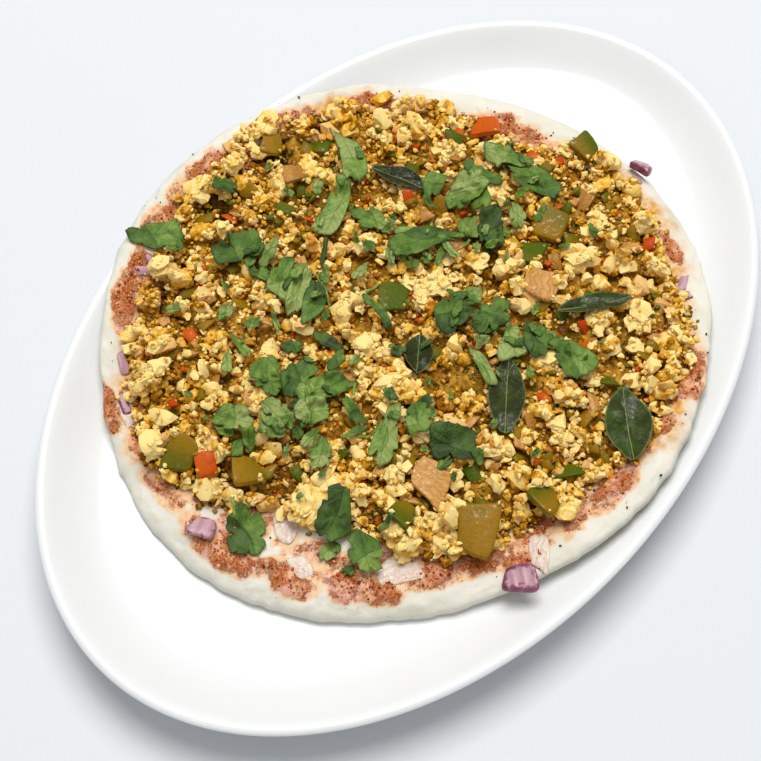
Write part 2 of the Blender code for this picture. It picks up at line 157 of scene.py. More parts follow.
BIG_CHUNKS = (
    (-72, -11, 15), (15, 11, 9), (13, 2, 10), (24, 3, 7), (6, 2, 7), (-28, -11, 8), (-34, -27, 9),
    (-18, 8, 9), (-36, 33, 7), (33, -52, 8), (31, -47, 6), (42, -62, 7), (22, -78, 6),
    (-68, -42, 8), (-59, -44, 7), (-73, -31, 7), (-12, 80, 6), (-32, 82, 6), (-68, 59, 6),
    (-85, 19, 7), (-86, 9, 6), (-6, -19, 6), (-24, -47, 6), (-10, -61, 7), (-14, -70, 6),
    (44, -53, 6), (46, -29, 5), (52, -9, 6), (65, 32, 6), (69, 43, 6), (19, 39, 6), (15, 53, 5),
    (-38, 69, 5), (-55, 60, 6), (0, 47, 5), (23, 48, 5), (-15, -31, 6), (7, -44, 5), (-32, -65, 6),
    (-51, -44, 7), (-34, -41, 6), (-46, 28, 5), (-39, 23, 5), (-64, 25, 5), (-77, 39, 5),
    (-65, -11, 8), (-69, -20, 7), (-30, -8, 6), (-38, -30, 6), (36, -53, 6), (-62, -50, 6),
)
SMALL_CAPSICUM = (
    (12, 78), (43, 69), (-37, -46), (57, -28), (69, -36), (56, -62), (32, -70), (-38, 76), (-7, 84),
    (-18, -70), (56, -17), (31, 56), (13, 63), (-27, 52), (-40, 57), (72, 30), (73, 12), (39, -45),
    (15, -65), (19, -37), (-7, -14), (-49, -23), (-67, -1), (-74, 9), (-16, 63),
)
SMALL_TOMATO = (
    (-58, -18), (87, -5), (-28, 17), (26, -71), (0, 77), (78, 32), (-2, -51), (22, -52), (82, 26),
    (47, 81), (-46, 59), (39, 28), (84, 4), (-38, 2), (-32, -53), (25, -26), (73, -49),
)
SMALL_ONION = (
    (46, -27), (6, -65), (29, -56), (74, -22), (-32, 53), (-23, -36), (51, 40), (42, 57), (25, 70),
    (36, 21), (-31, 5), (-12, -52), (88, -21), (21, 88), (-55, 42), (-56, 27), (14, -53), (33, 6),
    (-20, -53),
)
RIM_ONION = (
    (67, -66, 20, 7, 3), (-34, 86, 140, 8, 3), (-77, 63, 60, 8, 3), (63, -68, 70, 6, 3),
    (99, -31, 250, 5, 2), (-30, 86, 110, 7, 3), (-66, 72, 50, 8, 3), (-57, -74, 320, 7, 3),
)
PALE_ONION = (
    (-81, -5, 20, 15, 9), (-91, -18, 60, 8, 6), (-75, -43, 150, 14, 10), (-46, -76, 30, 13, 6),
    (-26, 88, 110, 9, 5), (30, 89, 150, 8, 5), (-79, 60, 70, 8, 5),
)

# Tones of single pieces, from 0 to 1
TONES = {
    "capsicum": (0.1, 0.45, 0.15, 0.6, 0.3, 0.95, 0.0, 1.0, 0.65, 0.5),
    "tomato": (0.3, 0.1),
    "onion": (0.1, 0.0, 0.7),
}
CURRY_TONES = (0.1, 0.55, 0.5, 0.65, 0.4)
LEAF_TONES = {12: 0.85, 14: 0.4, 15: 0.22, 16: 0.55, 21: 0.8, 24: 0.3}

# Chutney on the bread: middle angle, half angle, distance from the middle, half width, darkness
CHUTNEY = (
    (37, 13, 93.5, 4.8, 0.8), (8, 10, 92.5, 6.6, 1.0), (64, 7, 91, 3.6, 0.6), (83, 6, 88, 4.4, 0.5),
    (99, 5, 87, 4.0, 0.4), (122, 8, 92, 4.4, 0.2), (143, 5, 100, 3.6, 0.8), (163, 6, 97, 4.2, 0.5),
    (178, 9, 98, 5.4, 0.6), (193, 8, 95.5, 6.0, 0.5), (206, 7, 94.5, 5.2, 0.9), (218, 6, 90, 4.6, 0.5),
    (229, 6, 88, 5.0, 0.4), (237, 5, 92, 4.4, 0.3), (259, 7, 90, 5.4, 0.6), (290, 7, 95, 5.2, 0.7),
    (278, 4, 91, 4.6, 0.9), (322, 5, 98, 3.0, 0.3), (112, 5, 91, 2.6, 0.3), (152, 5, 95, 3.6, 0.4),
    (340, 6, 93, 3.6, 0.4), (247, 4, 84, 3.0, 0.3), (308, 6, 91, 3.4, 0.4),
)

# Camera: where it looks, its sensor in millimetres and its field in degrees; and the light all round
LOOK_AT = (-0.024438, -0.002566, 0.019)
SENSOR = 36.0
FIELD = 30.0
SKY = (0.95, 0.975, 1.0, 1.0)

# Lamps: name, metres ahead of the camera's view, to its right and up, width, share of the power, colour
LAMPS = (
    ("key", 0.62, 0.05, 2.0, 1.5, 3.75, (1.0, 0.99, 0.975)),
    ("spark", 0.9, -0.4, 1.8, 0.16, 0.14, (1.0, 0.99, 0.975)),
    ("front", -1.4, -0.5, 1.6, 1.4, 0.36, (0.96, 0.98, 1.0)),
)


class PlatterSizes(bpy.types.PropertyGroup):
    """Fineness and colour of the platter."""

    sides: bpy.props.IntProperty(name="Sides", description="Points around the platter", default=288, min=60)
    glaze: bpy.props.FloatVectorProperty(
        name="Glaze", description="Colour of the glaze",
        subtype="COLOR", size=3, default=(0.79, 0.80, 0.795),
    )


class BreadSizes(bpy.types.PropertyGroup):
    """Sizes and colour of the bread."""

    radius: bpy.props.FloatProperty(
        name="Radius", description="Mean radius of the bread", default=105.3 * MM, unit="LENGTH"
    )
    thickness: bpy.props.FloatProperty(
        name="Thickness", description="Thickness inside the rim", default=7.0 * MM, unit="LENGTH"
    )
    crumb: bpy.props.FloatVectorProperty(
        name="Crumb", description="Colour of the bare bread",
        subtype="COLOR", size=3, default=(0.715, 0.688, 0.592),
    )


class HeapSizes(bpy.types.PropertyGroup):
    """Sizes and counts of the topping."""

    radius: bpy.props.FloatProperty(
        name="Radius", description="Mean radius of the topping", default=87.5 * MM, unit="LENGTH"
    )
    sunk: bpy.props.FloatProperty(
        name="Sunk", description="How far the core lies under the crumbs", default=3.0 * MM, unit="LENGTH"
    )
    lumps: bpy.props.IntProperty(name="Lumps", description="Number of middling crumbs", default=2150)
    grains: bpy.props.IntProperty(name="Grains", description="Number of small crumbs", default=6000)
    masala: bpy.props.IntProperty(name="Masala", description="Number of masala grains", default=7000)
    paneer: bpy.props.FloatVectorProperty(
        name="Paneer", description="Colour of the palest paneer",
        subtype="COLOR", size=3, default=(0.94, 0.71, 0.27),
    )


class GreenSizes(bpy.types.PropertyGroup):
    """Thickness and colours of the leaves."""

    coriander_thickness: bpy.props.FloatProperty(
        name="Coriander thickness", description="Thickness of a coriander leaf",
        default=0.4 * MM, unit="LENGTH",
    )
    curry_thickness: bpy.props.FloatProperty(
        name="Curry leaf thickness", description="Thickness of a curry leaf",
        default=0.5 * MM, unit="LENGTH",
    )
    coriander: bpy.props.FloatVectorProperty(
        name="Coriander", description="Colour of coriander",
        subtype="COLOR", size=3, default=(0.108, 0.197, 0.030),
    )
    curry: bpy.props.FloatVectorProperty(
        name="Curry leaf", description="Colour of curry leaves",
        subtype="COLOR", size=3, default=(0.031, 0.038, 0.009),
    )


class StageSizes(bpy.types.PropertyGroup):
    """Floor, lights and camera."""

    floor: bpy.props.FloatVectorProperty(
        name="Floor", description="Colour of the floor",
        subtype="COLOR", size=3, default=(0.682, 0.702, 0.722),
    )
    key: bpy.props.FloatProperty(
        name="Key", description="Power of the main light", default=11.2, unit="POWER"
    )
    fill: bpy.props.FloatProperty(name="Fill", description="Strength of the light all round", default=0.39)
    distance: bpy.props.FloatProperty(
        name="Distance", description="From the camera to the dish", default=464.8 * MM, unit="LENGTH"
    )
    elevation: bpy.props.FloatProperty(
        name="Elevation", description="Angle of the view above the floor",
        default=math.radians(60.0), subtype="ANGLE",
    )
    heading: bpy.props.FloatProperty(
        name="Heading", description="Way the camera looks", default=math.radians(33.98), subtype="ANGLE"
    )


# Small sums that many pieces use
def even_turns(count):
    """Angles at even steps round a circle."""
    return 2 * np.pi * np.arange(count) / count


def random_turns(rng, count):
    """Random angles all round a circle."""
    return rng.uniform(0, 2 * np.pi, count)


def placed(centre, reach, turn):
    """Places at a distance and an angle from a centre."""
    return centre[0] + reach * np.cos(turn), centre[1] + reach * np.sin(turn)


def apart(x, y, places):
    """Distances from points to listed places, with a row for each point."""
    return np.hypot(x[:, None] - places[:, 0], y[:, None] - places[:, 1])


def degrees_past(turn, angle):
    """Degrees that a turn lies past an angle, from -180 to 180."""
    return (np.degrees(turn) - angle + 180) % 360 - 180


def bell(value, width):
    """One at zero, falling on both sides: the exponential of minus the squared share of the width."""
    return np.exp(-((value / width) ** 2))


def log_sizes(rng, count, typical, spread, least, most):
    """Random sizes whose logarithms gather round a typical one, kept within limits."""
    return np.clip(rng.lognormal(math.log(typical), spread, count), least, most)


def shares(rng, middle, spread, count=None):
    """Random shares from 0 to 1 that gather round a middle."""
    return np.clip(rng.normal(middle, spread, count), 0, 1)


def keep_under(points, ceiling):
    """Lowers the points above a height to it."""
    points[:, 2] = np.minimum(points[:, 2], ceiling)


# Numbers that look random but are the same on each run
def lattice(cell, seed):
    """A number from 0 to 1 for each cell: the part after the point of a large sine."""
    value = np.sin(cell @ np.array([127.1, 311.7, 74.7]) + seed * 53.3) * 43758.5453
    return value - np.floor(value)


def soft_noise(points, size, seed=0):
    """Smooth noise from -1 to 1: cell numbers eased between the corners of cubes of this size."""
    scaled = points / size
    cell = np.floor(scaled)
    part = scaled - cell
    part = part * part * (3 - 2 * part)
    total = np.zeros(len(points))
    for corner in np.ndindex(2, 2, 2):
        step = np.array(corner)
        weight = np.prod(np.where(step == 1, part, 1 - part), axis=1)
        total += weight * lattice(cell + step, seed)
    return 2 * total - 1


def plan_noise(x, y, size, seed=0):
    """Smooth noise over the plan."""
    flat = np.stack([np.ravel(x), np.ravel(y), np.zeros(np.size(x))], axis=1)
    return soft_noise(flat, size, seed).reshape(np.shape(x))


def grain_noise(x, y, size, seed=0):
    """Rounded grains: 1 at the nearest of one scattered point per cell, falling to 0 at one cell away."""
    sx, sy = x / size, y / size
    cx, cy = np.floor(sx), np.floor(sy)
    nearest = np.full(np.shape(x), 2.0)
    for dx, dy in np.ndindex(3, 3):
        gx, gy = cx + dx - 1, cy + dy - 1
        cell = np.stack([gx, gy, np.zeros(np.shape(gx))], axis=-1)
        apart = np.hypot(sx - gx - lattice(cell, seed), sy - gy - lattice(cell, seed + 1))
        nearest = np.minimum(nearest, apart)
    return np.sqrt(np.clip(1 - nearest**2, 0, 1))


# Shapes of the dish
def inward(x, y):
    """Distance in from the lip, by halving: the inset of the ellipse that passes through the point."""
    low = np.full(np.shape(x), -PLATE_HALF_SHORT)
    high = np.full(np.shape(x), PLATE_HALF_SHORT - 0.1)
    for _ in range(22):
        middle = (low + high) / 2
        outside = (x / (PLATE_HALF_LONG - middle)) ** 2 + (y / (PLATE_HALF_SHORT - middle)) ** 2 > 1
        high = np.where(outside, middle, high)
        low = np.where(outside, low, middle)
    return (low + high) / 2


def waved(radius, waves, turn):
    """A radius plus a cosine and a sine of each multiple of the turn."""
    reach = np.full(np.shape(turn), float(radius))
    for k, (along, across) in enumerate(waves, start=1):
        reach = reach + along * np.cos(k * turn) + across * np.sin(k * turn)
    return reach


def bread_under(x, y):
    """Height of the underside: level in the well, eased up the slope by a cubic and level past the lip."""
    share = np.clip((DRAPE_FROM - inward(x, y)) / (DRAPE_FROM - DRAPE_TO), 0, 1)
    return BREAD_LOW + (BREAD_HIGH - BREAD_LOW) * share * share * (3 - 2 * share)


def bread_thickness(inset):
    """Thickness in from the edge: a quarter circle, a low bell-shaped roll, then even."""
    thick = bpy.context.scene.bread_sizes.thickness / MM
    rounded = np.sqrt(np.clip(1 - (1 - np.minimum(inset / BREAD_EDGE, 1.0)) ** 2, 0, 1))
    roll = BREAD_ROLL * bell(inset - BREAD_ROLL_AT, BREAD_ROLL_AT)
    return thick * (BREAD_EDGE_SHARE + (1 - BREAD_EDGE_SHARE) * rounded) + roll * rounded


def waved_inset(x, y, centre, radius, waves):
    """Distance in from a waved edge, as a share of the radius times the radius."""
    dx, dy = x - centre[0], y - centre[1]
    return radius * (1 - np.hypot(dx, dy) / waved(radius, waves, np.arctan2(dy, dx)))


def bread_inset(x, y):
    """Distance in from the bread's edge."""
    return waved_inset(x, y, BREAD_CENTRE, bpy.context.scene.bread_sizes.radius / MM, BREAD_WAVES)


def bread_top(x, y):
    """Height of the upper side."""
    return bread_under(x, y) + bread_thickness(np.maximum(bread_inset(x, y), 0))


def heap_inset(x, y):
    """Distance in from the topping's edge."""
    return waved_inset(x, y, HEAP_CENTRE, bpy.context.scene.heap_sizes.radius / MM, HEAP_WAVES)


def spill(turn):
    """How far crumbs lie past the topping's edge: a bell curve for each spill."""
    out = SPILL_ALL_ROUND
    for angle, half_angle, reach in SPILLS:
        out = out + reach * bell(degrees_past(turn, angle), half_angle)
    return out


def core_rise(x, y, inset):
    """Height of the core over the bread: the topping less its crumbs, with rounded grains and hollows; and a
    share of the relief, low in the hollows and near the edge, that paints shade into the paste.
    """
    taper = np.clip(inset / 3.0, 0, 1)
    rise = heap_rise(x, y, inset) - bpy.context.scene.heap_sizes.sunk / MM
    rise = np.minimum(rise, 0.2 + 0.5 * inset)
    relief = 1.5 * grain_noise(x, y, 3.4, 33) + 0.9 * grain_noise(x, y, 1.7, 34)
    relief = relief + 1.5 * plan_noise(x, y, 5.0, 35) - 1.5
    return np.maximum(rise + taper * relief, 0.1 + 0.1 * taper), np.clip(taper * (relief + 2.0) / 3.4, 0, 1)


def heap_rise(x, y, inset):
    """Height of the topping over the bread: two quarter sines of the inset and low lumps."""
    share = np.clip(inset / HEAP_SLOPE, 0, 1)
    crown = np.clip(inset / HEAP_DOME, 0, 1)
    rise = HEAP_EDGE_Z + HEAP_RIM * np.sin(share * np.pi / 2)
    rise = rise + (HEAP_CROWN - HEAP_RIM) * np.sin(crown * np.pi / 2)
    lumps = np.sin(x * 0.21 + 1.3 * np.sin(y * 0.13))
    lumps = lumps + np.sin(y * 0.24 + 1.1 * np.sin(x * 0.16) + 2.0) + 0.6 * np.sin((x + y) * 0.11)
    return rise + HEAP_LUMP * share * lumps


def chutney_share(x, y):
    """Chutney at a point: the strongest patch, each falling off by arc and width, frayed by noise."""
    dx, dy = x - BREAD_CENTRE[0], y - BREAD_CENTRE[1]
    turn, reach = np.arctan2(dy, dx), np.hypot(dx, dy) - 1.5
    share = np.full(np.shape(x), -1.0)
    dark = np.zeros(np.shape(x))
    for angle, half_angle, middle, half_width, darkness in CHUTNEY:
        along = degrees_past(turn, angle) / half_angle
        across = (reach - middle) / half_width
        value = 1 - np.abs(along) ** 2.6 - np.abs(across) ** 2
        dark = np.where(value > share, darkness, dark)
        share = np.maximum(share, value)
    ring = 0.3 - ((reach - 86.5) / 9.0) ** 2
    share = np.maximum(0.9 * share, ring)
    share = share + 0.5 * plan_noise(x, y, 5.5, 3) + 0.3 * plan_noise(x, y, 2.1, 4)
    return np.clip((share + 0.25) / 0.95, 0, 1), dark


class Ground:
    """Height of all that has been laid so far, on a square grid."""

    step = 0.5
    low = (-130.0, -120.0)
    count = (520, 500)

    def __init__(self):
        x, y = (low + self.step * np.arange(count) for low, count in zip(self.low, self.count))
        self.x, self.y = np.meshgrid(x, y, indexing="ij")
        on_bread = bread_inset(self.x, self.y) > 0
        self.z = np.where(on_bread, bread_top(self.x, self.y), WELL_Z)

    def within(self, i, j):
        """Grid places kept on the grid."""
        return np.clip(i, 0, self.count[0] - 1), np.clip(j, 0, self.count[1] - 1)

    def spot(self, x, y):
        """Nearest grid place of each point."""
        return self.within(*(np.rint((v - low) / self.step).astype(int) for v, low in zip((x, y), self.low)))

    def at(self, x, y):
        """Height at the nearest grid place."""
        return self.z[self.spot(x, y)]

    def near(self, x, y, reach, count):
        """Heights at a square of places round each point, from this reach before it to as far past it."""
        steps = (2 * np.array(step) / (count - 1) - 1 for step in np.ndindex(count, count))
        return [self.at(x + dx * reach, y + dy * reach) for dx, dy in steps]

    def around(self, x, y, reach):
        """Mean height of nine places around each point."""
        return sum(self.near(x, y, reach, 3)) / 9

    def highest(self, x, y, reach):
        """Greatest height of 25 places around each point."""
        return np.maximum.reduce(self.near(x, y, reach, 5))

    def raise_to(self, x, y, z):
        """Lifts the places under points to them."""
        np.maximum.at(self.z, self.spot(x, y), z)

    def lay_domes(self, x, y, z, radius, height):
        """Lifts the ground to half ellipsoids: height by the root of one less the squared share."""
        reach = int(np.ceil(np.max(radius) / self.step))
        i, j = self.spot(x, y)
        for di, dj in np.ndindex(2 * reach + 1, 2 * reach + 1):
            gi, gj = self.within(i + di - reach, j + dj - reach)
            share = ((self.x[gi, gj] - x) ** 2 + (self.y[gi, gj] - y) ** 2) / radius**2
            near = share < 1
            top = z + height * np.sqrt(np.clip(1 - share, 0, 1))
            np.maximum.at(self.z, (gi[near], gj[near]), top[near])

    def smoothed(self, reach):
        """A copy whose heights are means over squares of this half width."""
        made = object.__new__(Ground)
        made.x, made.y = self.x, self.y
        cells = int(round(reach / self.step))
        width = 2 * cells + 1
        z = self.z
        for axis in (0, 1):
            first, last = (np.take(z, [end], axis) for end in (0, -1))
            padded = [np.repeat(first, cells + 1, axis), z, np.repeat(last, cells, axis)]
            total = np.cumsum(np.concatenate(padded, axis), axis)
            low = np.arange(z.shape[axis])
            z = (np.take(total, low + width, axis) - np.take(total, low, axis)) / width
        made.z = z
        return made


laid = {}


def ground():
    """The ground laid so far, made when it is first asked for."""
    if "ground" not in laid:
        laid["ground"] = Ground()
    return laid["ground"]


# Meshes
def put_mesh(name, points, triangles, look, fields=None, smooth=True):
    """One object at the origin from points in millimetres, with named numbers at its points.

    A field with fewer values than there are points holds one for each of its equal lumps.
    """
    data = bpy.data.meshes.new(name)
    data.vertices.add(len(points))
    data.vertices.foreach_set("co", (points * MM).astype(np.float32).ravel())
    data.loops.add(triangles.size)
    data.loops.foreach_set("vertex_index", triangles.astype(np.int32).ravel())
    data.polygons.add(len(triangles))
    data.polygons.foreach_set("loop_start", np.arange(0, triangles.size, 3, dtype=np.int32))
    data.update(calc_edges=True)
    if data.validate():
        raise RuntimeError(f"{name} has faces that Blender had to mend")
    data.polygons.foreach_set("use_smooth", np.full(len(triangles), smooth))
    for field, values in (fields or {}).items():
        layer = data.attributes.new(field, "FLOAT", "POINT")
        values = np.repeat(values, len(points) // np.size(values))
        layer.data.foreach_set("value", values.astype(np.float32))
    made = bpy.data.objects.new(name, data)
    bpy.context.scene.collection.objects.link(made)
    data.materials.append(look)
    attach(made, "root")
    return made


def ring_triangles(rings, turns):
    """Triangles of a closed surface of rings between two end points, the first of them below."""
    i = np.arange(turns)
    j = (i + 1) % turns
    parts = [np.stack([0 * i, 1 + j, 1 + i], 1)]
    for k in range(rings - 1):
        low, high = 1 + k * turns, 1 + (k + 1) * turns
        parts.append(np.stack([low + i, low + j, high + j], 1))
        parts.append(np.stack([low + i, high + j, high + i], 1))
    last = 1 + (rings - 1) * turns
    parts.append(np.stack([last + i, last + j, np.full(turns, last + turns)], 1))
    return np.concatenate(parts)


def ring_points(x, y, z, first, last):
    """The rings' points in order, between their two end points."""
    body = np.stack([x.ravel(), y.ravel(), z.ravel()], 1)
    return np.concatenate([[first], body, [last]])


def cut_corners(line, rounds):
    """Corner cutting: each stretch is replaced by its points at one quarter and three quarters."""
    line = np.array(line, float)
    for _ in range(rounds):
        a, b = line[:-1], line[1:]
        inner = np.stack([0.75 * a + 0.25 * b, 0.25 * a + 0.75 * b], 1).reshape(-1, 2)
        line = np.concatenate([line[:1], inner, line[-1:]])
    return line


def ball(level):
    """Points and triangles of a unit ball made from a 20-sided one."""
    form = bmesh.new()
    bmesh.ops.create_icosphere(form, subdivisions=level, radius=1.0)
    points = np.array([v.co[:] for v in form.verts])
    triangles = np.array([[v.index for v in f.verts] for f in form.faces])
    form.free()
    return points, triangles


def directions(rng, *shape):
    """Unit vectors spread evenly over all directions."""
    made = rng.normal(size=(*shape, 3))
    return made / np.linalg.norm(made, axis=-1, keepdims=True)


def chunks(rng, count, level, cuts, nodules=0, rough=0.06, crags=0.0):
    """Broken lumps: in each direction the least distance to any cutting plane, with rounded nodules."""
    points, triangles = ball(level)
    normals = directions(rng, count, cuts)
    away = rng.uniform(0.45, 0.95, (count, 1, cuts))
    facing = np.einsum("vd,ncd->nvc", points, normals)
    reach = np.minimum((away / np.maximum(facing, 0.1)).min(axis=2), 1.2)
    if nodules:
        knobs = directions(rng, count, nodules)
        near = np.einsum("vd,ncd->nvc", points, knobs).max(axis=2)
        apart = np.arccos(np.clip(near, -1, 1))
        width = 2.2 / math.sqrt(nodules)
        reach = reach * (0.82 + 0.24 * np.sqrt(np.clip(1 - (apart / width) ** 2, 0, 1)))
    reach = reach * (1 + rough * rng.normal(size=reach.shape))
    made = points[None] * reach[..., None]
    if crags:
        spots = (made + 7.0 * np.arange(count)[:, None, None]).reshape(-1, 3)
        relief = crags * soft_noise(spots, 0.42, 51) + 0.6 * crags * soft_noise(spots, 0.19, 52)
        made = made * (1 + relief.reshape(count, -1, 1))
    return made, triangles


def turned(rng, count):
    """Random turns, as matrices of unit quaternions."""
    w, x, y, z = rng.normal(size=(count, 4)).T
    w, x, y, z = np.stack([w, x, y, z]) / np.sqrt(w * w + x * x + y * y + z * z)
    rows = [
        [1 - 2 * (y * y + z * z), 2 * (x * y - w * z), 2 * (x * z + w * y)],
        [2 * (x * y + w * z), 1 - 2 * (x * x + z * z), 2 * (y * z - w * x)],
        [2 * (x * z - w * y), 2 * (y * z + w * x), 1 - 2 * (x * x + y * y)],
    ]
    return np.moveaxis(np.array(rows), 2, 0)


def scattered(rng, shapes, triangles, centres, radii, flat=0.8):
    """Copies of the shapes: each stretched, turned, pressed a little flat and moved to its place."""
    count = len(centres)
    which = rng.integers(0, len(shapes), count)
    stretch = rng.uniform(0.68, 1.28, (count, 1, 3)) * radii[:, None, None]
    points = np.einsum("nij,nvj->nvi", turned(rng, count), shapes[which] * stretch)
    points[..., 2] *= flat
    points = points + centres[:, None, :]
    faces = triangles[None] + shapes.shape[1] * np.arange(count)[:, None, None]
    return points.reshape(-1, 3), faces.reshape(-1, 3)


# Materials
def shade(red, green, blue):
    """A colour seen on a screen, from 0 to 255, as light: the usual power curve with its straight foot."""
    parts = [value / 255 for value in (red, green, blue)]
    return (*[part / 12.92 if part <= 0.04045 else ((part + 0.055) / 1.055) ** 2.4 for part in parts], 1.0)


def scaled(colour, red=1.0, green=1.0, blue=1.0):
    """A colour of light with each part made stronger or weaker, up to full."""
    return (*(min(value * by, 1.0) for value, by in zip(colour, (red, green, blue))), 1.0)


class Value:
    """A node's output, as a number or a colour. Sums with it add nodes."""

    def __init__(self, look, socket):
        self.look, self.socket = look, socket

    def __add__(self, other):
        return self.look.maths("ADD", self, other)

    def __sub__(self, other):
        return self.look.maths("SUBTRACT", self, other)

    def __rsub__(self, other):
        return self.look.maths("SUBTRACT", other, self)

    def __mul__(self, other):
        return self.look.maths("MULTIPLY", self, other)

    def __abs__(self):
        return self.look.maths("ABSOLUTE", self)

    def span(self, low, high, to_low=0.0, to_high=1.0, kind="SMOOTHSTEP"):
        """The number moved from one span to another and kept within it."""
        inputs = {"Value": self, "From Min": low, "From Max": high, "To Min": to_low, "To Max": to_high}
        return self.look.add("ShaderNodeMapRange", "Result", inputs, interpolation_type=kind)

    def ramp(self, *stops):
        """Colours along the number, each stop a place and a colour."""
        made = self.look.add("ShaderNodeValToRGB", "Color", {"Fac": self})
        band = made.socket.node.color_ramp
        while len(band.elements) < len(stops):
            band.elements.new(0.5)
        for element, (place, *colour) in zip(band.elements, stops):
            element.position = place
            element.color = colour if len(colour) == 4 else shade(*colour)
        return made

    def mix(self, share, other):
        """The colour mixed with another by a share."""
        return self.look.mix(share, self, other)


class Look:
    """A material and short ways to add its nodes. A colour of three numbers counts from 0 to 255."""

    def __init__(self, name, **shader):
        self.material = bpy.data.materials.new(name)
        self.material.use_nodes = True
        self.tree = self.material.node_tree
        self.shader = self.tree.nodes["Principled BSDF"]
        for key, value in shader.items():
            self.shader.inputs[key.replace("_", " ").title().replace("Ior", "IOR")].default_value = value
        self.place = self.add("ShaderNodeTexCoord", "Object", {})

    def add(self, kind, output, inputs, **settings):
        """Adds a node and gives one of its outputs. An input is a constant or another node's output."""
        made = self.tree.nodes.new(kind)
        for key, value in settings.items():
            setattr(made, key, value)
        for key, value in inputs.items():
            if isinstance(value, Value):
                self.tree.links.new(value.socket, made.inputs[key])
            else:
                made.inputs[key].default_value = value
        return Value(self, made.outputs[output])

    def noise(self, size, detail=3.0, rough=0.55, twist=0.0):
        """Noise from 0 to 1 with features of this many millimetres."""
        inputs = {"Vector": self.place, "Scale": 1 / (size * MM), "Detail": detail}
        return self.add("ShaderNodeTexNoise", "Fac", {**inputs, "Roughness": rough, "Distortion": twist})

    def grains(self, size):
        """Distance to the nearest scattered point, in cell sizes."""
        return self.add("ShaderNodeTexVoronoi", "Distance", {"Vector": self.place, "Scale": 1 / (size * MM)})

    def field(self, name):
        """A number stored at the mesh's points."""
        return self.add("ShaderNodeAttribute", "Fac", {}, attribute_name=name)

    def maths(self, operation, a, b=0.0, *c):
        """A sum of one, two or three numbers."""
        return self.add("ShaderNodeMath", 0, dict(enumerate((a, b, *c))), operation=operation)

    def mix(self, share, a, b):
        """Two colours mixed by a share."""
        a, b = (shade(*side) if isinstance(side, tuple) and len(side) == 3 else side for side in (a, b))
        return self.add("ShaderNodeMix", 2, {0: share, 6: a, 7: b}, data_type="RGBA")

    def bump(self, height, depth, under=None):
        """Relief of this many millimetres from a height of 0 to 1."""
        inputs = {"Height": height, "Distance": depth * MM, "Strength": 1.0}
        return self.add("ShaderNodeBump", "Normal", {**inputs, "Normal": under} if under else inputs)

    def wet(self, size, low, high, most):
        """Share of a thin wet film, in spots of this many millimetres."""
        return self.noise(size, 2).span(low, high, 0.0, most)

    def finish(self, colour, roughness, normal, film=None):
        """Joins colour, roughness, relief and wet film to the shader."""
        links = {"Base Color": colour, "Roughness": roughness, "Normal": normal, "Coat Weight": film}
        for key, value in links.items():
            if value:
                self.tree.links.new(value.socket, self.shader.inputs[key])
        return self.material


def glaze_look():
    """White glaze with faint clouds, a slightly uneven gloss and very low ripples."""
    look = Look("white_glaze", coat_weight=0.25, coat_roughness=0.08, specular_ior_level=0.35)
    base = bpy.context.scene.platter_sizes.glaze
    colour = look.mix(look.noise(38, 2), (*base, 1.0), scaled(base, 0.965, 0.965, 0.965))
    colour = colour.mix(look.grains(9.0).span(0.035, 0.02) * 0.35, (196, 190, 178))
    rough = look.noise(7, 3).span(0.3, 0.7, 0.18, 0.26)
    return look.finish(colour, rough, look.bump(look.noise(16, 2), 0.1))


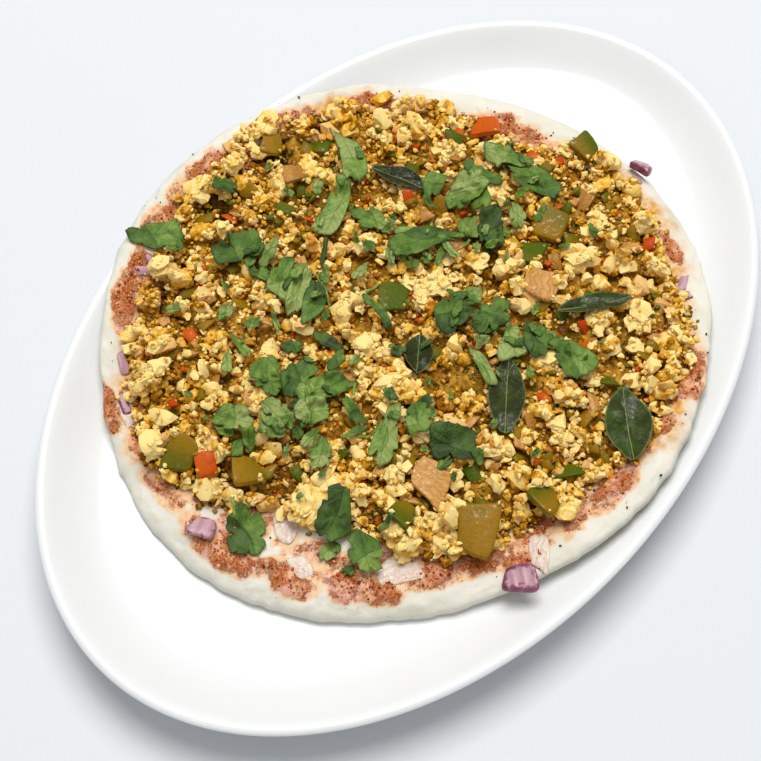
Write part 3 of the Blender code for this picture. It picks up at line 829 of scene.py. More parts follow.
def bread_look():
    """Pale steamed crumb with pores and pepper specks, stained by oil and chutney as its fields say."""
    look = Look(
        "bread", specular_ior_level=0.14, coat_roughness=0.2, subsurface_weight=0.06, subsurface_scale=0.003
    )
    base = bpy.context.scene.bread_sizes.crumb
    cream = look.noise(15, 3).ramp(
        (0.3, *scaled(base, 0.92, 0.93, 0.88)), (0.5, *base, 1.0), (0.72, *scaled(base, 1.06, 1.06, 1.08))
    )
    cream = cream.mix(look.noise(3.2, 4).span(0.52, 0.74, 0, 0.45), (226, 206, 188))
    oil = look.field("oil") * look.noise(4.5, 4).span(0.3, 0.62, 0.3)
    cream = cream.mix(oil, look.noise(2.4, 3).ramp((0.3, 194, 128, 50), (0.7, 230, 186, 112)))
    fine = look.noise(0.85, 5, 0.75)
    spread = look.field("chutney") + look.noise(2.6, 4, 0.6).span(0.25, 0.75, -0.24, 0.24)
    halo = look.field("chutney").span(0.02, 0.3, 0.0, 0.6)
    cream = cream.mix(halo, look.noise(3.0, 3).ramp((0.35, 228, 168, 98), (0.65, 236, 204, 158)))
    stain = spread.span(0.16, 0.46)
    salmon = look.noise(1.6, 4, 0.6).ramp((0.3, 206, 134, 86), (0.5, 230, 174, 130), (0.7, 240, 208, 180))
    pink = look.noise(1.9, 3).ramp((0.35, 218, 144, 138), (0.65, 236, 196, 196))
    salmon = salmon.mix(look.noise(10, 2).span(0.5, 0.64, 0, 0.6), pink)
    cream = cream.mix(stain * 0.85, salmon)
    ragged = spread + fine.span(0.3, 0.7, -0.2, 0.2)
    patch = ragged.span(0.4, 0.84) * look.noise(5.5, 4, 0.6).span(0.38, 0.54, 0.28)
    red = look.noise(0.6, 4, 0.7).ramp(
        (0.3, 118, 42, 12), (0.43, 180, 84, 34), (0.55, 212, 130, 68), (0.68, 240, 194, 144)
    )
    brown = look.noise(0.7, 4, 0.7).ramp((0.3, 84, 34, 14), (0.46, 160, 84, 38), (0.64, 216, 148, 96))
    red = red.mix(look.noise(7, 2, 0.5, 0.6).span(0.52, 0.66, 0, 0.45), (206, 96, 78))
    red = red.mix(look.noise(4.2, 3, 0.6).span(0.5, 0.66, 0, 0.75), salmon)
    sauce = red.mix(look.field("dark") * 0.6, brown)
    colour = cream.mix(patch, sauce)
    pepper = look.grains(2.6).span(0.085, 0.055) * look.noise(9, 2).span(0.5, 0.58)
    colour = colour.mix(pepper, (52, 42, 34))
    rough = patch.span(0, 1, 0.62, 0.42, "LINEAR")
    relief = look.bump(look.noise(4.0, 5, 0.6), 0.5)
    relief = look.bump(patch * fine, 0.7, relief)
    return look.finish(colour, rough, relief, patch * look.wet(1.2, 0.58, 0.68, 0.5))


def core_look():
    """Masala-soaked paste between the crumbs, darkened in its hollows as painted shade."""
    look = Look("masala_core", specular_ior_level=0.08, coat_roughness=0.12)
    high, cloud = look.field("high"), look.noise(1.6, 5, 0.65).span(0.25, 0.75, 0, 0.45)
    # The high field is low in hollows and near the edge: the ramp paints shade there.
    colour = look.maths("MULTIPLY_ADD", high, 0.55, cloud).ramp(
        (0.14, 38, 27, 4), (0.4, 92, 66, 8), (0.64, 150, 106, 20), (0.9, 204, 152, 54)
    )
    colour = colour.mix(look.noise(9, 2).span(0.56, 0.7, 0, 0.5), (150, 62, 12))
    colour = colour.mix(look.noise(7, 2, 0.5, 1.0).span(0.6, 0.72, 0, 0.45), (112, 96, 12))
    rough = look.noise(2.2, 3).span(0.3, 0.7, 0.26, 0.5)
    return look.finish(colour, rough, look.bump(look.noise(1.1, 5, 0.7), 0.7), look.wet(1.0, 0.6, 0.68, 0.6))


def paneer_look(name, fine):
    """Crumbled paneer: pale curd at its high places and darker in its low ones, partly turmeric and masala
    stain and partly painted light and shade from the tone field.
    """
    look = Look(
        name, specular_ior_level=0.07, coat_roughness=0.15, subsurface_weight=0.08, subsurface_scale=0.002
    )
    stain = look.noise(2.6, 4, 0.6).span(0.25, 0.75, -0.24, 0.24)
    # The tone field carries painted light and shade: raised crumbs and crumb tops lighter, sunk crumbs and
    # crumb feet darker.
    blend = look.field("tone") + stain
    blend = look.maths("MULTIPLY_ADD", look.noise(fine, 4, 0.7).span(0.2, 0.8, -0.5, 0.5), 0.3, blend)
    colour = blend.ramp(
        (0.0, 92, 56, 2), (0.2, 158, 104, 8), (0.42, 214, 154, 36), (0.66, 242, 194, 86),
        (0.9, *bpy.context.scene.heap_sizes.paneer, 1.0),
    )
    colour = colour.mix(look.field("hue").span(0.6, 1.0, 0, 0.5), (190, 98, 18))
    rough = look.noise(1.8, 3).span(0.3, 0.7, 0.36, 0.58)
    relief = look.bump(look.noise(0.9, 4, 0.65), 0.3)
    return look.finish(colour, rough, relief, look.wet(1.6, 0.6, 0.7, 0.6))


def masala_look(name, dark, middle, light):
    """Soft cooked grains from dark to light."""
    look = Look(name, specular_ior_level=0.1, coat_roughness=0.12)
    blend = look.field("tone") + look.noise(0.8, 3).span(0.3, 0.7, -0.2, 0.2)
    colour = blend.ramp((0.1, *dark), (0.5, *middle), (0.9, *light))
    colour = colour.mix(look.field("hue").span(0.6, 0.68, 0, 0.85), (112, 104, 22))
    colour = colour.mix(look.field("hue").span(0.84, 0.88, 0, 0.9), (168, 70, 14))
    relief = look.bump(look.noise(0.6, 3), 0.2)
    rough = look.noise(1.0, 2).span(0.3, 0.7, 0.3, 0.5)
    return look.finish(colour, rough, relief, look.wet(1.1, 0.56, 0.66, 0.6))


def leaf_look():
    """Coriander: a fan of veins from the stalk end with side veins between, each leaf of its own tone, with
    painted light and shade on the two sides of a crease, a painted shadow line along it and painted shade at
    the rim.
    """
    look = Look("coriander", specular_ior_level=0.14)
    green = bpy.context.scene.green_sizes.coriander
    veins_each_way = 1.75
    along, across = look.field("along"), look.field("across")
    angle = look.maths("ARCTAN2", across, along)
    reach = look.maths("SQRT", along * along + across * across)
    fan = look.maths("FRACT", look.maths("MULTIPLY_ADD", angle, veins_each_way, 20.5))
    side = abs(fan - 0.5) * reach * (1 / veins_each_way)
    main = side.span(0.05, 0.2, 1.0, 0.0)
    slant = look.maths("FRACT", (reach - side * 1.2) * 0.42)
    veins = look.maths("MAXIMUM", main, abs(slant - 0.5).span(0.02, 0.09, 0.45, 0.0))
    cloud = look.noise(5.0, 3).span(0.3, 0.7, -0.18, 0.18)
    # The crease field makes one side of the fold lighter than the other: painted light and shade.
    tone = look.field("tone") + cloud + look.field("crease").span(-0.3, 0.3, -0.1, 0.14)
    colour = tone.ramp(
        (0.0, *scaled(green, 0.28, 0.26, 0.45)), (0.3, *scaled(green, 0.6, 0.6, 0.75)), (0.58, *green, 1.0),
        (0.8, *scaled(green, 1.65, 1.38, 1.7)), (1.0, *scaled(green, 2.6, 1.74, 3.4)),
    )
    colour = colour.mix(look.field("hue").span(0.6, 1.0, 0, 0.8), (132, 160, 40))
    colour = colour.mix(veins * 0.3, (140, 176, 106))
    # Painted shadow: a dark line along the crease and a dark rim where leaves fold and overlap.
    line = abs(look.field("crease")).span(0.06, 0.32, 0.38, 0.0)
    dark = look.maths("MAXIMUM", line, look.field("rim").span(0.88, 1.0, 0.0, 0.45))
    colour = colour.mix(dark, (30, 44, 14))
    rough = look.noise(2.5, 3).span(0.3, 0.7, 0.38, 0.56)
    return look.finish(colour, rough, look.bump(1.0 - veins, 0.3, look.bump(look.noise(1.2, 3), 0.2)))


def curry_look():
    """Fried curry leaf: near-black green, a pale middle rib, slanting veins and a speckled film of oil
    painted pale as its sheen.
    """
    look = Look("curry_leaf", specular_ior_level=0.14, coat_roughness=0.14)
    green = bpy.context.scene.green_sizes.curry
    along, across = look.field("along"), look.field("across")
    off = abs(across)
    line = look.field("rim").span(0.93, 0.99, 0.0, 0.5)
    rib = look.maths("MAXIMUM", off.span(0.08, 0.22, 1.0, 0.0), line)
    slant = look.maths("FRACT", (along - off * 0.8) * 0.5)
    veins = abs(slant - 0.5).span(0.02, 0.12, 1.0, 0.0)
    tone = look.field("tone") + look.noise(6, 3).span(0.3, 0.7, -0.2, 0.2)
    colour = tone.ramp((0.1, *scaled(green, 0.6, 0.5, 0.7)), (0.5, *green, 1.0), (0.9, 62, 84, 30))
    # The pale speckles of the oil film are painted sheen.
    film = look.noise(5.5, 2).span(0.48, 0.62) * look.noise(0.7, 3, 0.7).span(0.46, 0.62)
    colour = colour.mix(film * 0.45, (104, 112, 92))
    colour = colour.mix(veins * 0.16, (90, 110, 70)).mix(rib * 0.7, (146, 156, 90))
    rough = film.span(0, 1, 0.2, 0.5, "LINEAR")
    relief = look.bump(rib + veins * 0.35, 0.25)
    relief = look.bump(look.noise(0.8, 3), 0.12, relief)
    return look.finish(colour, rough, relief, look.wet(1.2, 0.54, 0.64, 0.35))


def vegetable_look(name, skin, flesh, edge, gloss=0.24, clear=0.0, fibres=0.0):
    """Cooked vegetable: skin above, flesh on the cut sides, an edge colour at the rim and streaks."""
    look = Look(
        name, specular_ior_level=0.1, coat_roughness=0.1,
        subsurface_weight=0.12 + clear, subsurface_scale=0.002,
    )
    share = look.field("skin") + look.noise(2.4, 4).span(0.25, 0.75, -0.25, 0.25)
    colour = look.mix(share.span(0.2, 0.75), flesh, skin)
    colour = colour.mix(look.noise(1000 / 420, 4, 0.5).span(0.5, 0.75, 0, 0.35), edge)
    tone = look.field("tone") + look.field("across").span(-3.0, 3.0, -0.22, 0.22)
    colour = colour.mix(tone.span(0.0, 1.0, 0.0, 0.88), edge)
    rough = look.noise(1.5, 3).span(0.3, 0.7, gloss, gloss + 0.2)
    bend = look.field("across"), 3.2, look.noise(4.0, 3).span(0, 1, 0, 14)
    layers = look.maths("SINE", look.maths("MULTIPLY_ADD", *bend))
    colour = colour.mix(layers.span(-0.2, 1.0, 0.0, fibres), edge)
    relief = look.bump(look.noise(1.6, 4, 0.6), 0.3, look.bump(layers, 0.3 * fibres))
    return look.finish(colour, rough, relief, look.wet(1.3, 0.55, 0.64, 0.5))


def red_onion_look():
    """Raw red onion: lilac layers with dark purple skin along the edges."""
    look = Look(
        "red_onion", specular_ior_level=0.25, coat_weight=0.1, coat_roughness=0.15,
        subsurface_weight=0.15, subsurface_scale=0.002,
    )
    layers = look.maths("SINE", look.maths("MULTIPLY_ADD", look.field("across"), 1.7, look.noise(3.0, 2)))
    pale = look.mix(layers.span(-0.2, 0.9, 0, 0.45), (190, 152, 160), (152, 108, 126))
    edge = look.field("edge") + look.noise(2.0, 3).span(0.3, 0.7, -0.25, 0.25) + look.field("tone") * 0.6
    skin = look.noise(2.6, 3).ramp((0.35, 84, 26, 50), (0.65, 148, 70, 100))
    colour = pale.mix(edge.span(0.8, 1.15, 0, 0.9), skin)
    return look.finish(colour, look.noise(1.5, 3).span(0.3, 0.7, 0.2, 0.4), look.bump(layers, 0.12))


def floor_look():
    """Pale matt paper with a very faint tooth."""
    look = Look("floor_paper", specular_ior_level=0.2)
    base = bpy.context.scene.stage_sizes.floor
    colour = look.mix(look.noise(160, 2), (*base, 1.0), scaled(base, 0.985, 0.985, 0.985))
    rough = look.noise(1.0, 2).span(0.3, 0.7, 0.8, 0.9)
    return look.finish(colour, rough, look.bump(look.noise(0.6, 2), 0.02))


# Forms of the pieces
def flat_turn(x, y, heading, along, across):
    """Places along and across a heading, on the plan."""
    turn = math.radians(heading)
    return (
        x + along * math.cos(turn) - across * math.sin(turn),
        y + along * math.sin(turn) + across * math.cos(turn),
    )


def sheet_form(rng, x, y, heading, rim, rings, thickness, wave, fold, ease=0.55):
    """A thin closed leaf: rings drawn in from the rim below and above, bent to the ground under it.

    The height is the plane that fits the ground best, plus a share of the ground's own shape,
    plus a fold along the middle, two waves around the rim, a lifted rim and a step along one crease.
    """
    turns = len(rim[0])
    turn = even_turns(turns)
    share = (np.linspace(0, 1, rings + 1)[1:] ** 0.85)[:, None]
    along, across = share * rim[0], share * rim[1]
    px, py = flat_turn(x, y, heading, along, across)
    raw = ground().highest(px, py, 0.9)
    soft = laid["soft"].at(px, py)
    base = np.stack([px.ravel(), py.ravel(), np.ones(px.size)], 1)
    fit = np.linalg.lstsq(base, soft.ravel(), rcond=None)[0]
    plane = (base @ fit).reshape(px.shape)
    z = plane + ease * (soft - plane)
    half = np.abs(rim[1]).max()
    z = z + fold * np.abs(across) / half
    z = z + wave * share**2 * np.sin(2 * turn + rng.uniform(0, 6))
    z = z + 0.5 * wave * share**2 * np.sin(5 * turn + rng.uniform(0, 6))
    z = z + rng.uniform(0.2, 1.1) * share**4
    slant, off = rng.uniform(0, np.pi), rng.uniform(-0.3, 0.3) * half
    crease = along * math.cos(slant) + across * math.sin(slant) - off
    beside = across * math.cos(slant) - along * math.sin(slant)
    crease = crease + rng.uniform(-0.4, 0.4) * beside**2 / half
    z = z + 0.5 * np.clip(0.5 + crease, 0, 1)
    z = z + np.clip(np.percentile(raw - z, 85), -1.5, 2.6) + 0.1
    for _ in range(2):
        z = np.maximum(z, raw + 0.15)
        near = (np.roll(z, 1, 1) + np.roll(z, -1, 1)) / 2
        z[1:-1] = 0.4 * z[1:-1] + 0.3 * near[1:-1] + 0.15 * (z[:-2] + z[2:])
    z = np.maximum(z, raw + 0.1)
    z = np.minimum(z, CEILING - thickness)
    ground().raise_to(px, py, z + thickness)
    bottom = (x, y, z[0].mean())
    top = (x, y, z[0].mean() + thickness)
    both = lambda a, b: np.concatenate([a, b[::-1]])
    every = np.ones_like(z)
    lift = np.maximum(thickness * np.sqrt(np.clip(1 - share**6, 0, 1)) * every, 0.25 * thickness)
    points = ring_points(both(px, px), both(py, py), both(z, z + lift), bottom, top)
    fields = {"along": along, "across": across, "crease": crease, "rim": share * every}
    for key, value in fields.items():
        middle = [value[0].mean()]
        fields[key] = np.concatenate([middle, both(value, value).ravel(), middle])
    return points, ring_triangles(2 * rings, turns), fields


def lobed_rim(rng, turns, length, width):
    """A coriander leaflet's rim: an oval or a strip, drawn in at notches and teeth, with straight cuts."""
    turn = even_turns(turns)
    strip = length / width > 2.3 or rng.random() < 0.5
    power = 4.2 if strip else 2.2
    reach = (np.abs(np.cos(turn)) ** power + np.abs(np.sin(turn)) ** power) ** (-1 / power)
    notches = rng.integers(1, 4) if strip else rng.integers(4, 7)
    for facing in np.linspace(-2.2, 2.2, notches) + rng.uniform(-0.3, 0.3, notches):
        apart = (turn - facing + np.pi) % (2 * np.pi) - np.pi
        reach = reach * (1 - rng.uniform(0.16, 0.5) * np.exp(-((apart / 0.14) ** 2)))
    side = 0.5 + 0.5 * np.cos(turn - rng.uniform(-1.5, 1.5))
    teeth = np.abs(np.sin(rng.integers(13, 19) * turn / 2 + rng.uniform(0, 3))) ** 0.6
    reach = reach * (1 - 0.1 * side * teeth)
    for _ in range(rng.integers(1, 4)):
        away, facing = rng.uniform(0.66, 0.95), rng.uniform(0, 2 * np.pi)
        reach = np.minimum(reach, away / np.maximum(np.cos(turn - facing), 0.05))
    along = 1.06 * length / 2 * reach * np.cos(turn)
    across = 1.12 * width / 2 * reach * np.sin(turn) * (0.96 + rng.uniform(-0.12, 0.26) * np.cos(turn))
    along = along + rng.uniform(-0.3, 0.3) * across
    across = across + rng.uniform(-0.02, 0.02) * along**2
    return along, across


def pointed_rim(turns, length, width):
    """A curry leaf's rim: an oval drawn in toward both ends, with fine teeth."""
    turn = even_turns(turns)
    teeth = 1 + 0.012 * np.sin(30 * turn)
    along = length / 2 * np.cos(turn)
    across = width / 2 * np.sin(turn) * (1 - 0.36 * np.cos(turn) ** 2) * teeth
    return along, across


def cut_form(rng, length, width, height, turns=32, rings=13, bend=0.0, square=0.3):
    """A cut piece: a rounded block by powers of sines and cosines, its corners moved and its length bent."""
    turn = even_turns(turns)
    rise = np.linspace(-np.pi / 2, np.pi / 2, rings + 2)[1:-1]
    power = lambda value, by: np.sign(value) * np.abs(value) ** by
    ring = power(np.cos(rise), 0.2)[:, None]
    u = ring * power(np.cos(turn), square)[None]
    v = ring * power(np.sin(turn), square)[None]
    w = power(np.sin(rise), 0.4)[:, None] * np.ones_like(u)
    u, v, w = (np.concatenate([[0.0], a.ravel(), [0.0]]) for a in (u, v, w))
    w[0], w[-1] = -1.0, 1.0
    corner = rng.uniform(-0.24, 0.24, 6)
    along = length / 2 * (u + corner[0] * v + corner[1] * u * v + corner[2] * v * v)
    across = width / 2 * (v + corner[3] * u + corner[4] * u * v + corner[5] * u * u)
    z = height / 2 * w + bend * (0.5 - u * u) + 0.3 * bend * (0.5 - v * v)
    bumps = np.stack([along, across, z], 1) + rng.uniform(0, 90)
    swell = 0.05 * height * soft_noise(bumps, 1.8, 5)
    return along, across, z + swell, u, v, w, ring_triangles(rings, turns)


def place_cut(rng, row, box=None, bend=0.0, fine=1.0, square=0.3):
    """A cut piece turned to its heading, and fitted to its node's box where it has one."""
    x, y, heading, length, width, height = row
    turns, rings = (32, 13) if fine >= 1 else (14, 5)
    along, across, z, u, v, w, triangles = cut_form(rng, length, width, height, turns, rings, bend, square)
    px, py = flat_turn(x, y, heading, along, across)
    if box is not None:
        lean = rng.uniform(0.5, 0.9) * height * np.sign(rng.normal())
        z = 0.62 * z + lean * (u if rng.random() > 0.5 else v) / 2
    points = np.stack([px, py, z], 1)
    if box is not None:
        low, high = np.array(box[0]) / MM, np.array(box[1]) / MM
        span = points.max(0) - points.min(0)
        points = low + (points - points.min(0)) * (high - low) / span
    fields = {"skin": (w > 0.2) * 1.0, "edge": np.maximum(np.abs(u), np.abs(v)), "across": across}
    return points, triangles, fields


def joined(parts):
    """Several meshes as one: their points in order, and their triangles counted on."""
    points, triangles, fields, start = [], [], {}, 0
    for part_points, part_triangles, part_fields in parts:
        points.append(part_points)
        triangles.append(part_triangles + start)
        start += len(part_points)
        for key, value in part_fields.items():
            fields.setdefault(key, []).append(np.broadcast_to(value, len(part_points)))
    fields = {key: np.concatenate(values) for key, values in fields.items()}
    return np.concatenate(points), np.concatenate(triangles), fields


def put_parts(name, parts, look):
    """Several meshes as one object."""
    points, triangles, fields = joined(parts)
    return put_mesh(name, points, triangles, look, fields)


def waved_rings(centre, radius, waves, turn, insets, ragged, fade):
    """Rings in from a waved edge: the edge times the share left, and a raggedness that fades inward."""
    inset = insets[:, None]
    reach = waved(radius, waves, turn) * (1 - inset / radius) + ragged * np.exp(-inset / fade)
    return placed(centre, reach, turn)


class UTTAPAM_OT_platter(bpy.types.Operator):
    """Oval coupe platter: a rounded profile carried round an ellipse."""

    bl_idname = "uttapam.platter"
    bl_label = "Platter"

    def execute(self, context):
        turns = context.scene.platter_sizes.sides
        turn = even_turns(turns)
        profile = cut_corners(PLATE_PROFILE, 2)
        inset, z = profile[:, :1], profile[:, 1:]
        x = (PLATE_HALF_LONG - inset) * np.cos(turn)
        y = (PLATE_HALF_SHORT - inset) * np.sin(turn)
        points = ring_points(x, y, z * np.ones_like(x), (0, 0, 0), (0, 0, WELL_Z))
        triangles = ring_triangles(len(profile), turns)
        made = put_mesh("platter_glazed", points, triangles, glaze_look())
        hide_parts("platter")
        return {"FINISHED"}


class UTTAPAM_OT_bread(bpy.types.Operator):
    """Bread: rings of its waved outline, under and over, with a crinkled edge and a soft uneven top."""

    bl_idname = "uttapam.bread"
    bl_label = "Bread"

    def execute(self, context):
        radius = context.scene.bread_sizes.radius / MM
        turn = even_turns(BREAD_TURNS)
        low = np.array([60.0, 40.0, 28.0, 20.0, 14.0, 9.0, 6.0, 3.8, 2.2, 1.2, 0.6])
        high = np.concatenate([np.linspace(0, 4.4, 12), np.linspace(5.2, 30, 38), np.linspace(32, 96, 34)])
        circle = placed((0, 0), radius, turn)
        crinkle = 0.55 * plan_noise(*circle, 7.0, 11) + 0.3 * plan_noise(*circle, 2.6, 12) - 0.85
        edge = BREAD_CENTRE, radius, BREAD_WAVES, turn
        x0, y0 = waved_rings(*edge, low, crinkle, 5.0)
        z0 = bread_under(x0, y0) + np.where(low < 1, 0.7, 0.0)[:, None]
        x1, y1 = waved_rings(*edge, high, crinkle, 5.0)
        z1 = bread_under(x1, y1) + bread_thickness(high)[:, None]
        settled = np.clip(high / 2.5, 0, 1)[:, None]
        z1 = z1 + settled * (0.3 * plan_noise(x1, y1, 7.5, 21) + 0.2 * plan_noise(x1, y1, 2.8, 22) - 0.2)
        pits = grain_noise(x1, y1, 3.1, 23)
        z1 = z1 - settled * 0.3 * np.clip(pits - 0.93, 0, 1) / 0.07 * (plan_noise(x1, y1, 12, 24) > 0.1)
        z1 = z1 + 0.5 * (plan_noise(x1, y1, 3.0, 25) * bell(high - 3.4, 1.6)[:, None])
        chutney, dark = chutney_share(x1, y1)
        z1 = z1 + np.clip(chutney - 0.3, 0, 1) * (0.15 + 0.45 * grain_noise(x1, y1, 1.7, 26))
        heap = heap_inset(x1, y1)
        oil = np.clip((heap + 8.5 + 4 * plan_noise(x1, y1, 6, 27)) / 6.0, 0, 1)
        oil = np.maximum(oil, 0.6 * np.clip(1 - np.abs(chutney - 0.3) * 3.4, 0, 1))
        x, y, z = (np.concatenate(pair) for pair in ((x0, x1), (y0, y1), (z0, z1)))
        under, top = bread_under(*BREAD_CENTRE), bread_top(*BREAD_CENTRE)
        points = ring_points(x, y, z, (*BREAD_CENTRE, under), (*BREAD_CENTRE, top))
        bare = np.zeros(x0.size)
        fields = {"chutney": chutney, "dark": dark, "oil": oil}
        fields = {key: np.concatenate([[0.0], bare, value.ravel(), [0.0]]) for key, value in fields.items()}
        triangles = ring_triangles(len(low) + len(high), BREAD_TURNS)
        made = put_mesh("uttapam_bread", points, triangles, bread_look(), fields)
        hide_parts("uttapam")
        return {"FINISHED"}


class UTTAPAM_OT_core(bpy.types.Operator):
    """Core of the topping: a low mound whose relief is grains of two sizes."""

    bl_idname = "uttapam.core"
    bl_label = "Topping core"

    def execute(self, context):
        sizes = context.scene.heap_sizes
        radius = sizes.radius / MM
        turn = even_turns(CORE_TURNS)
        insets = np.concatenate([np.linspace(0, 12, 22), np.linspace(12.7, radius - 2.0, 106)])
        circle = placed((0, 0), radius, turn)
        ragged = 2.0 * plan_noise(*circle, 9.0, 31) + 1.4 * plan_noise(*circle, 3.0, 32) - 0.4
        x, y = waved_rings(HEAP_CENTRE, radius, HEAP_WAVES, turn, insets, ragged, 12.0)
        inset = insets[:, None] * np.ones_like(x)
        rise, high = core_rise(x, y, inset)
        z = np.minimum(bread_top(x, y) + rise, CEILING)
        floor_x, floor_y = (np.stack([value[CORE_FLOOR_RING], value[0]]) for value in (x, y))
        floor = floor_x, floor_y, bread_top(floor_x, floor_y) - 0.4
        x, y, z = (np.concatenate(pair) for pair in zip(floor, (x, y, z)))
        foot, top = (*HEAP_CENTRE, bread_top(*HEAP_CENTRE) - 0.4), (*HEAP_CENTRE, z[-1].mean())
        points = ring_points(x, y, z, foot, top)
        # The high field paints shade into the paste's hollows.
        high = np.concatenate([np.zeros((2, CORE_TURNS)), high])
        fields = {"high": np.concatenate([[0.0], high.ravel(), [0.5]])}
        triangles = ring_triangles(len(insets) + 2, CORE_TURNS)
        made = put_mesh("bhurji_core", points, triangles, core_look(), fields)
        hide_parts("paneer_bhurji")
        land = ground()
        inside = heap_inset(land.x, land.y)
        mound = bread_top(land.x, land.y) + core_rise(land.x, land.y, inside)[0]
        land.z = np.where(inside > 1.0, np.maximum(land.z, mound), land.z)
        return {"FINISHED"}


class UTTAPAM_OT_vegetables(bpy.types.Operator):
    """Capsicum, tomato and cooked onion: the large pieces in their nodes' places and small ones between."""

    bl_idname = "uttapam.vegetables"
    bl_label = "Vegetables"

    def execute(self, context):
        rng = np.random.default_rng(7)
        capsicum = vegetable_look("capsicum", (146, 106, 12), (164, 130, 30), (58, 86, 6))
        tomato = vegetable_look("tomato", (196, 88, 14), (214, 126, 34), (180, 60, 10), 0.18)
        shades = (208, 156, 92), (212, 162, 72), (160, 108, 34)
        onion = vegetable_look("cooked_onion", *shades, 0.2, 0.1, 0.4)
        kinds = (
            ("capsicum", 10, capsicum, "capsicum", "capsicum_{:02d}", 0.9, SMALL_CAPSICUM, (5.0, 9.0), 130),
            ("tomato", 2, tomato, "tomato", "tomato_{}", 0.4, SMALL_TOMATO, (3.0, 5.5), 130),
            ("onion", 3, onion, "cooked_onion", "cooked_onion_{}", 0.8, SMALL_ONION, (5.0, 9.0), 55),
        )
        land = ground()
        for kind, count, look, slot, pattern, bend, spots, span, more in kinds:
            for index in range(1, count + 1):
                node = pattern.format(index)
                low, high = (np.array(corner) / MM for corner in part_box(node))
                x, y = (low + high)[:2] / 2
                wide = (high - low)[:2]
                row = (x, y, rng.uniform(0, 360), wide.max() * 0.95, wide.min() * 0.9, high[2] - low[2])
                points, triangles, fields = place_cut(rng, row, (low * MM, high * MM), bend)
                fields["tone"] = TONES[kind][index - 1]
                made = put_mesh(f"{kind}_piece_{index:02d}", points, triangles, look, fields)
                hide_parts(node)
                land.raise_to(points[:, 0], points[:, 1], points[:, 2])
                laid.setdefault("keep", []).append((x, y, 0.36 * wide.max()))
            parts = []
            extra = [(rng.uniform(*ALONG), rng.uniform(*ACROSS)) for _ in range(more)]
            for x, y in (*spots, *extra):
                if heap_inset(x, y) < 3:
                    continue
                length = rng.uniform(*span) * (1.0 if (x, y) in spots else rng.uniform(0.4, 0.75))
                width = length * rng.uniform(0.5, 0.9)
                height = rng.uniform(1.1, 2.0)
                row = (x, y, rng.uniform(0, 360), length, width, height)
                points, triangles, fields = place_cut(rng, row, None, bend * 0.7, 0.5)
                lean = rng.normal(0, 0.35, 2)
                points[:, 2] += (points[:, 0] - x) * lean[0] + (points[:, 1] - y) * lean[1]
                points[:, 2] += land.around(np.array(x), np.array(y), 1.2) + 1.5
                laid["keep"].append((x, y, 0.3 * length))
                keep_under(points, CEILING)
                fields["tone"] = rng.uniform(0, 1)
                parts.append((points, triangles, fields))
                land.raise_to(points[:, 0], points[:, 1], points[:, 2] - 0.4)
            put_parts(f"{kind}_bits", parts, look)
        return {"FINISHED"}


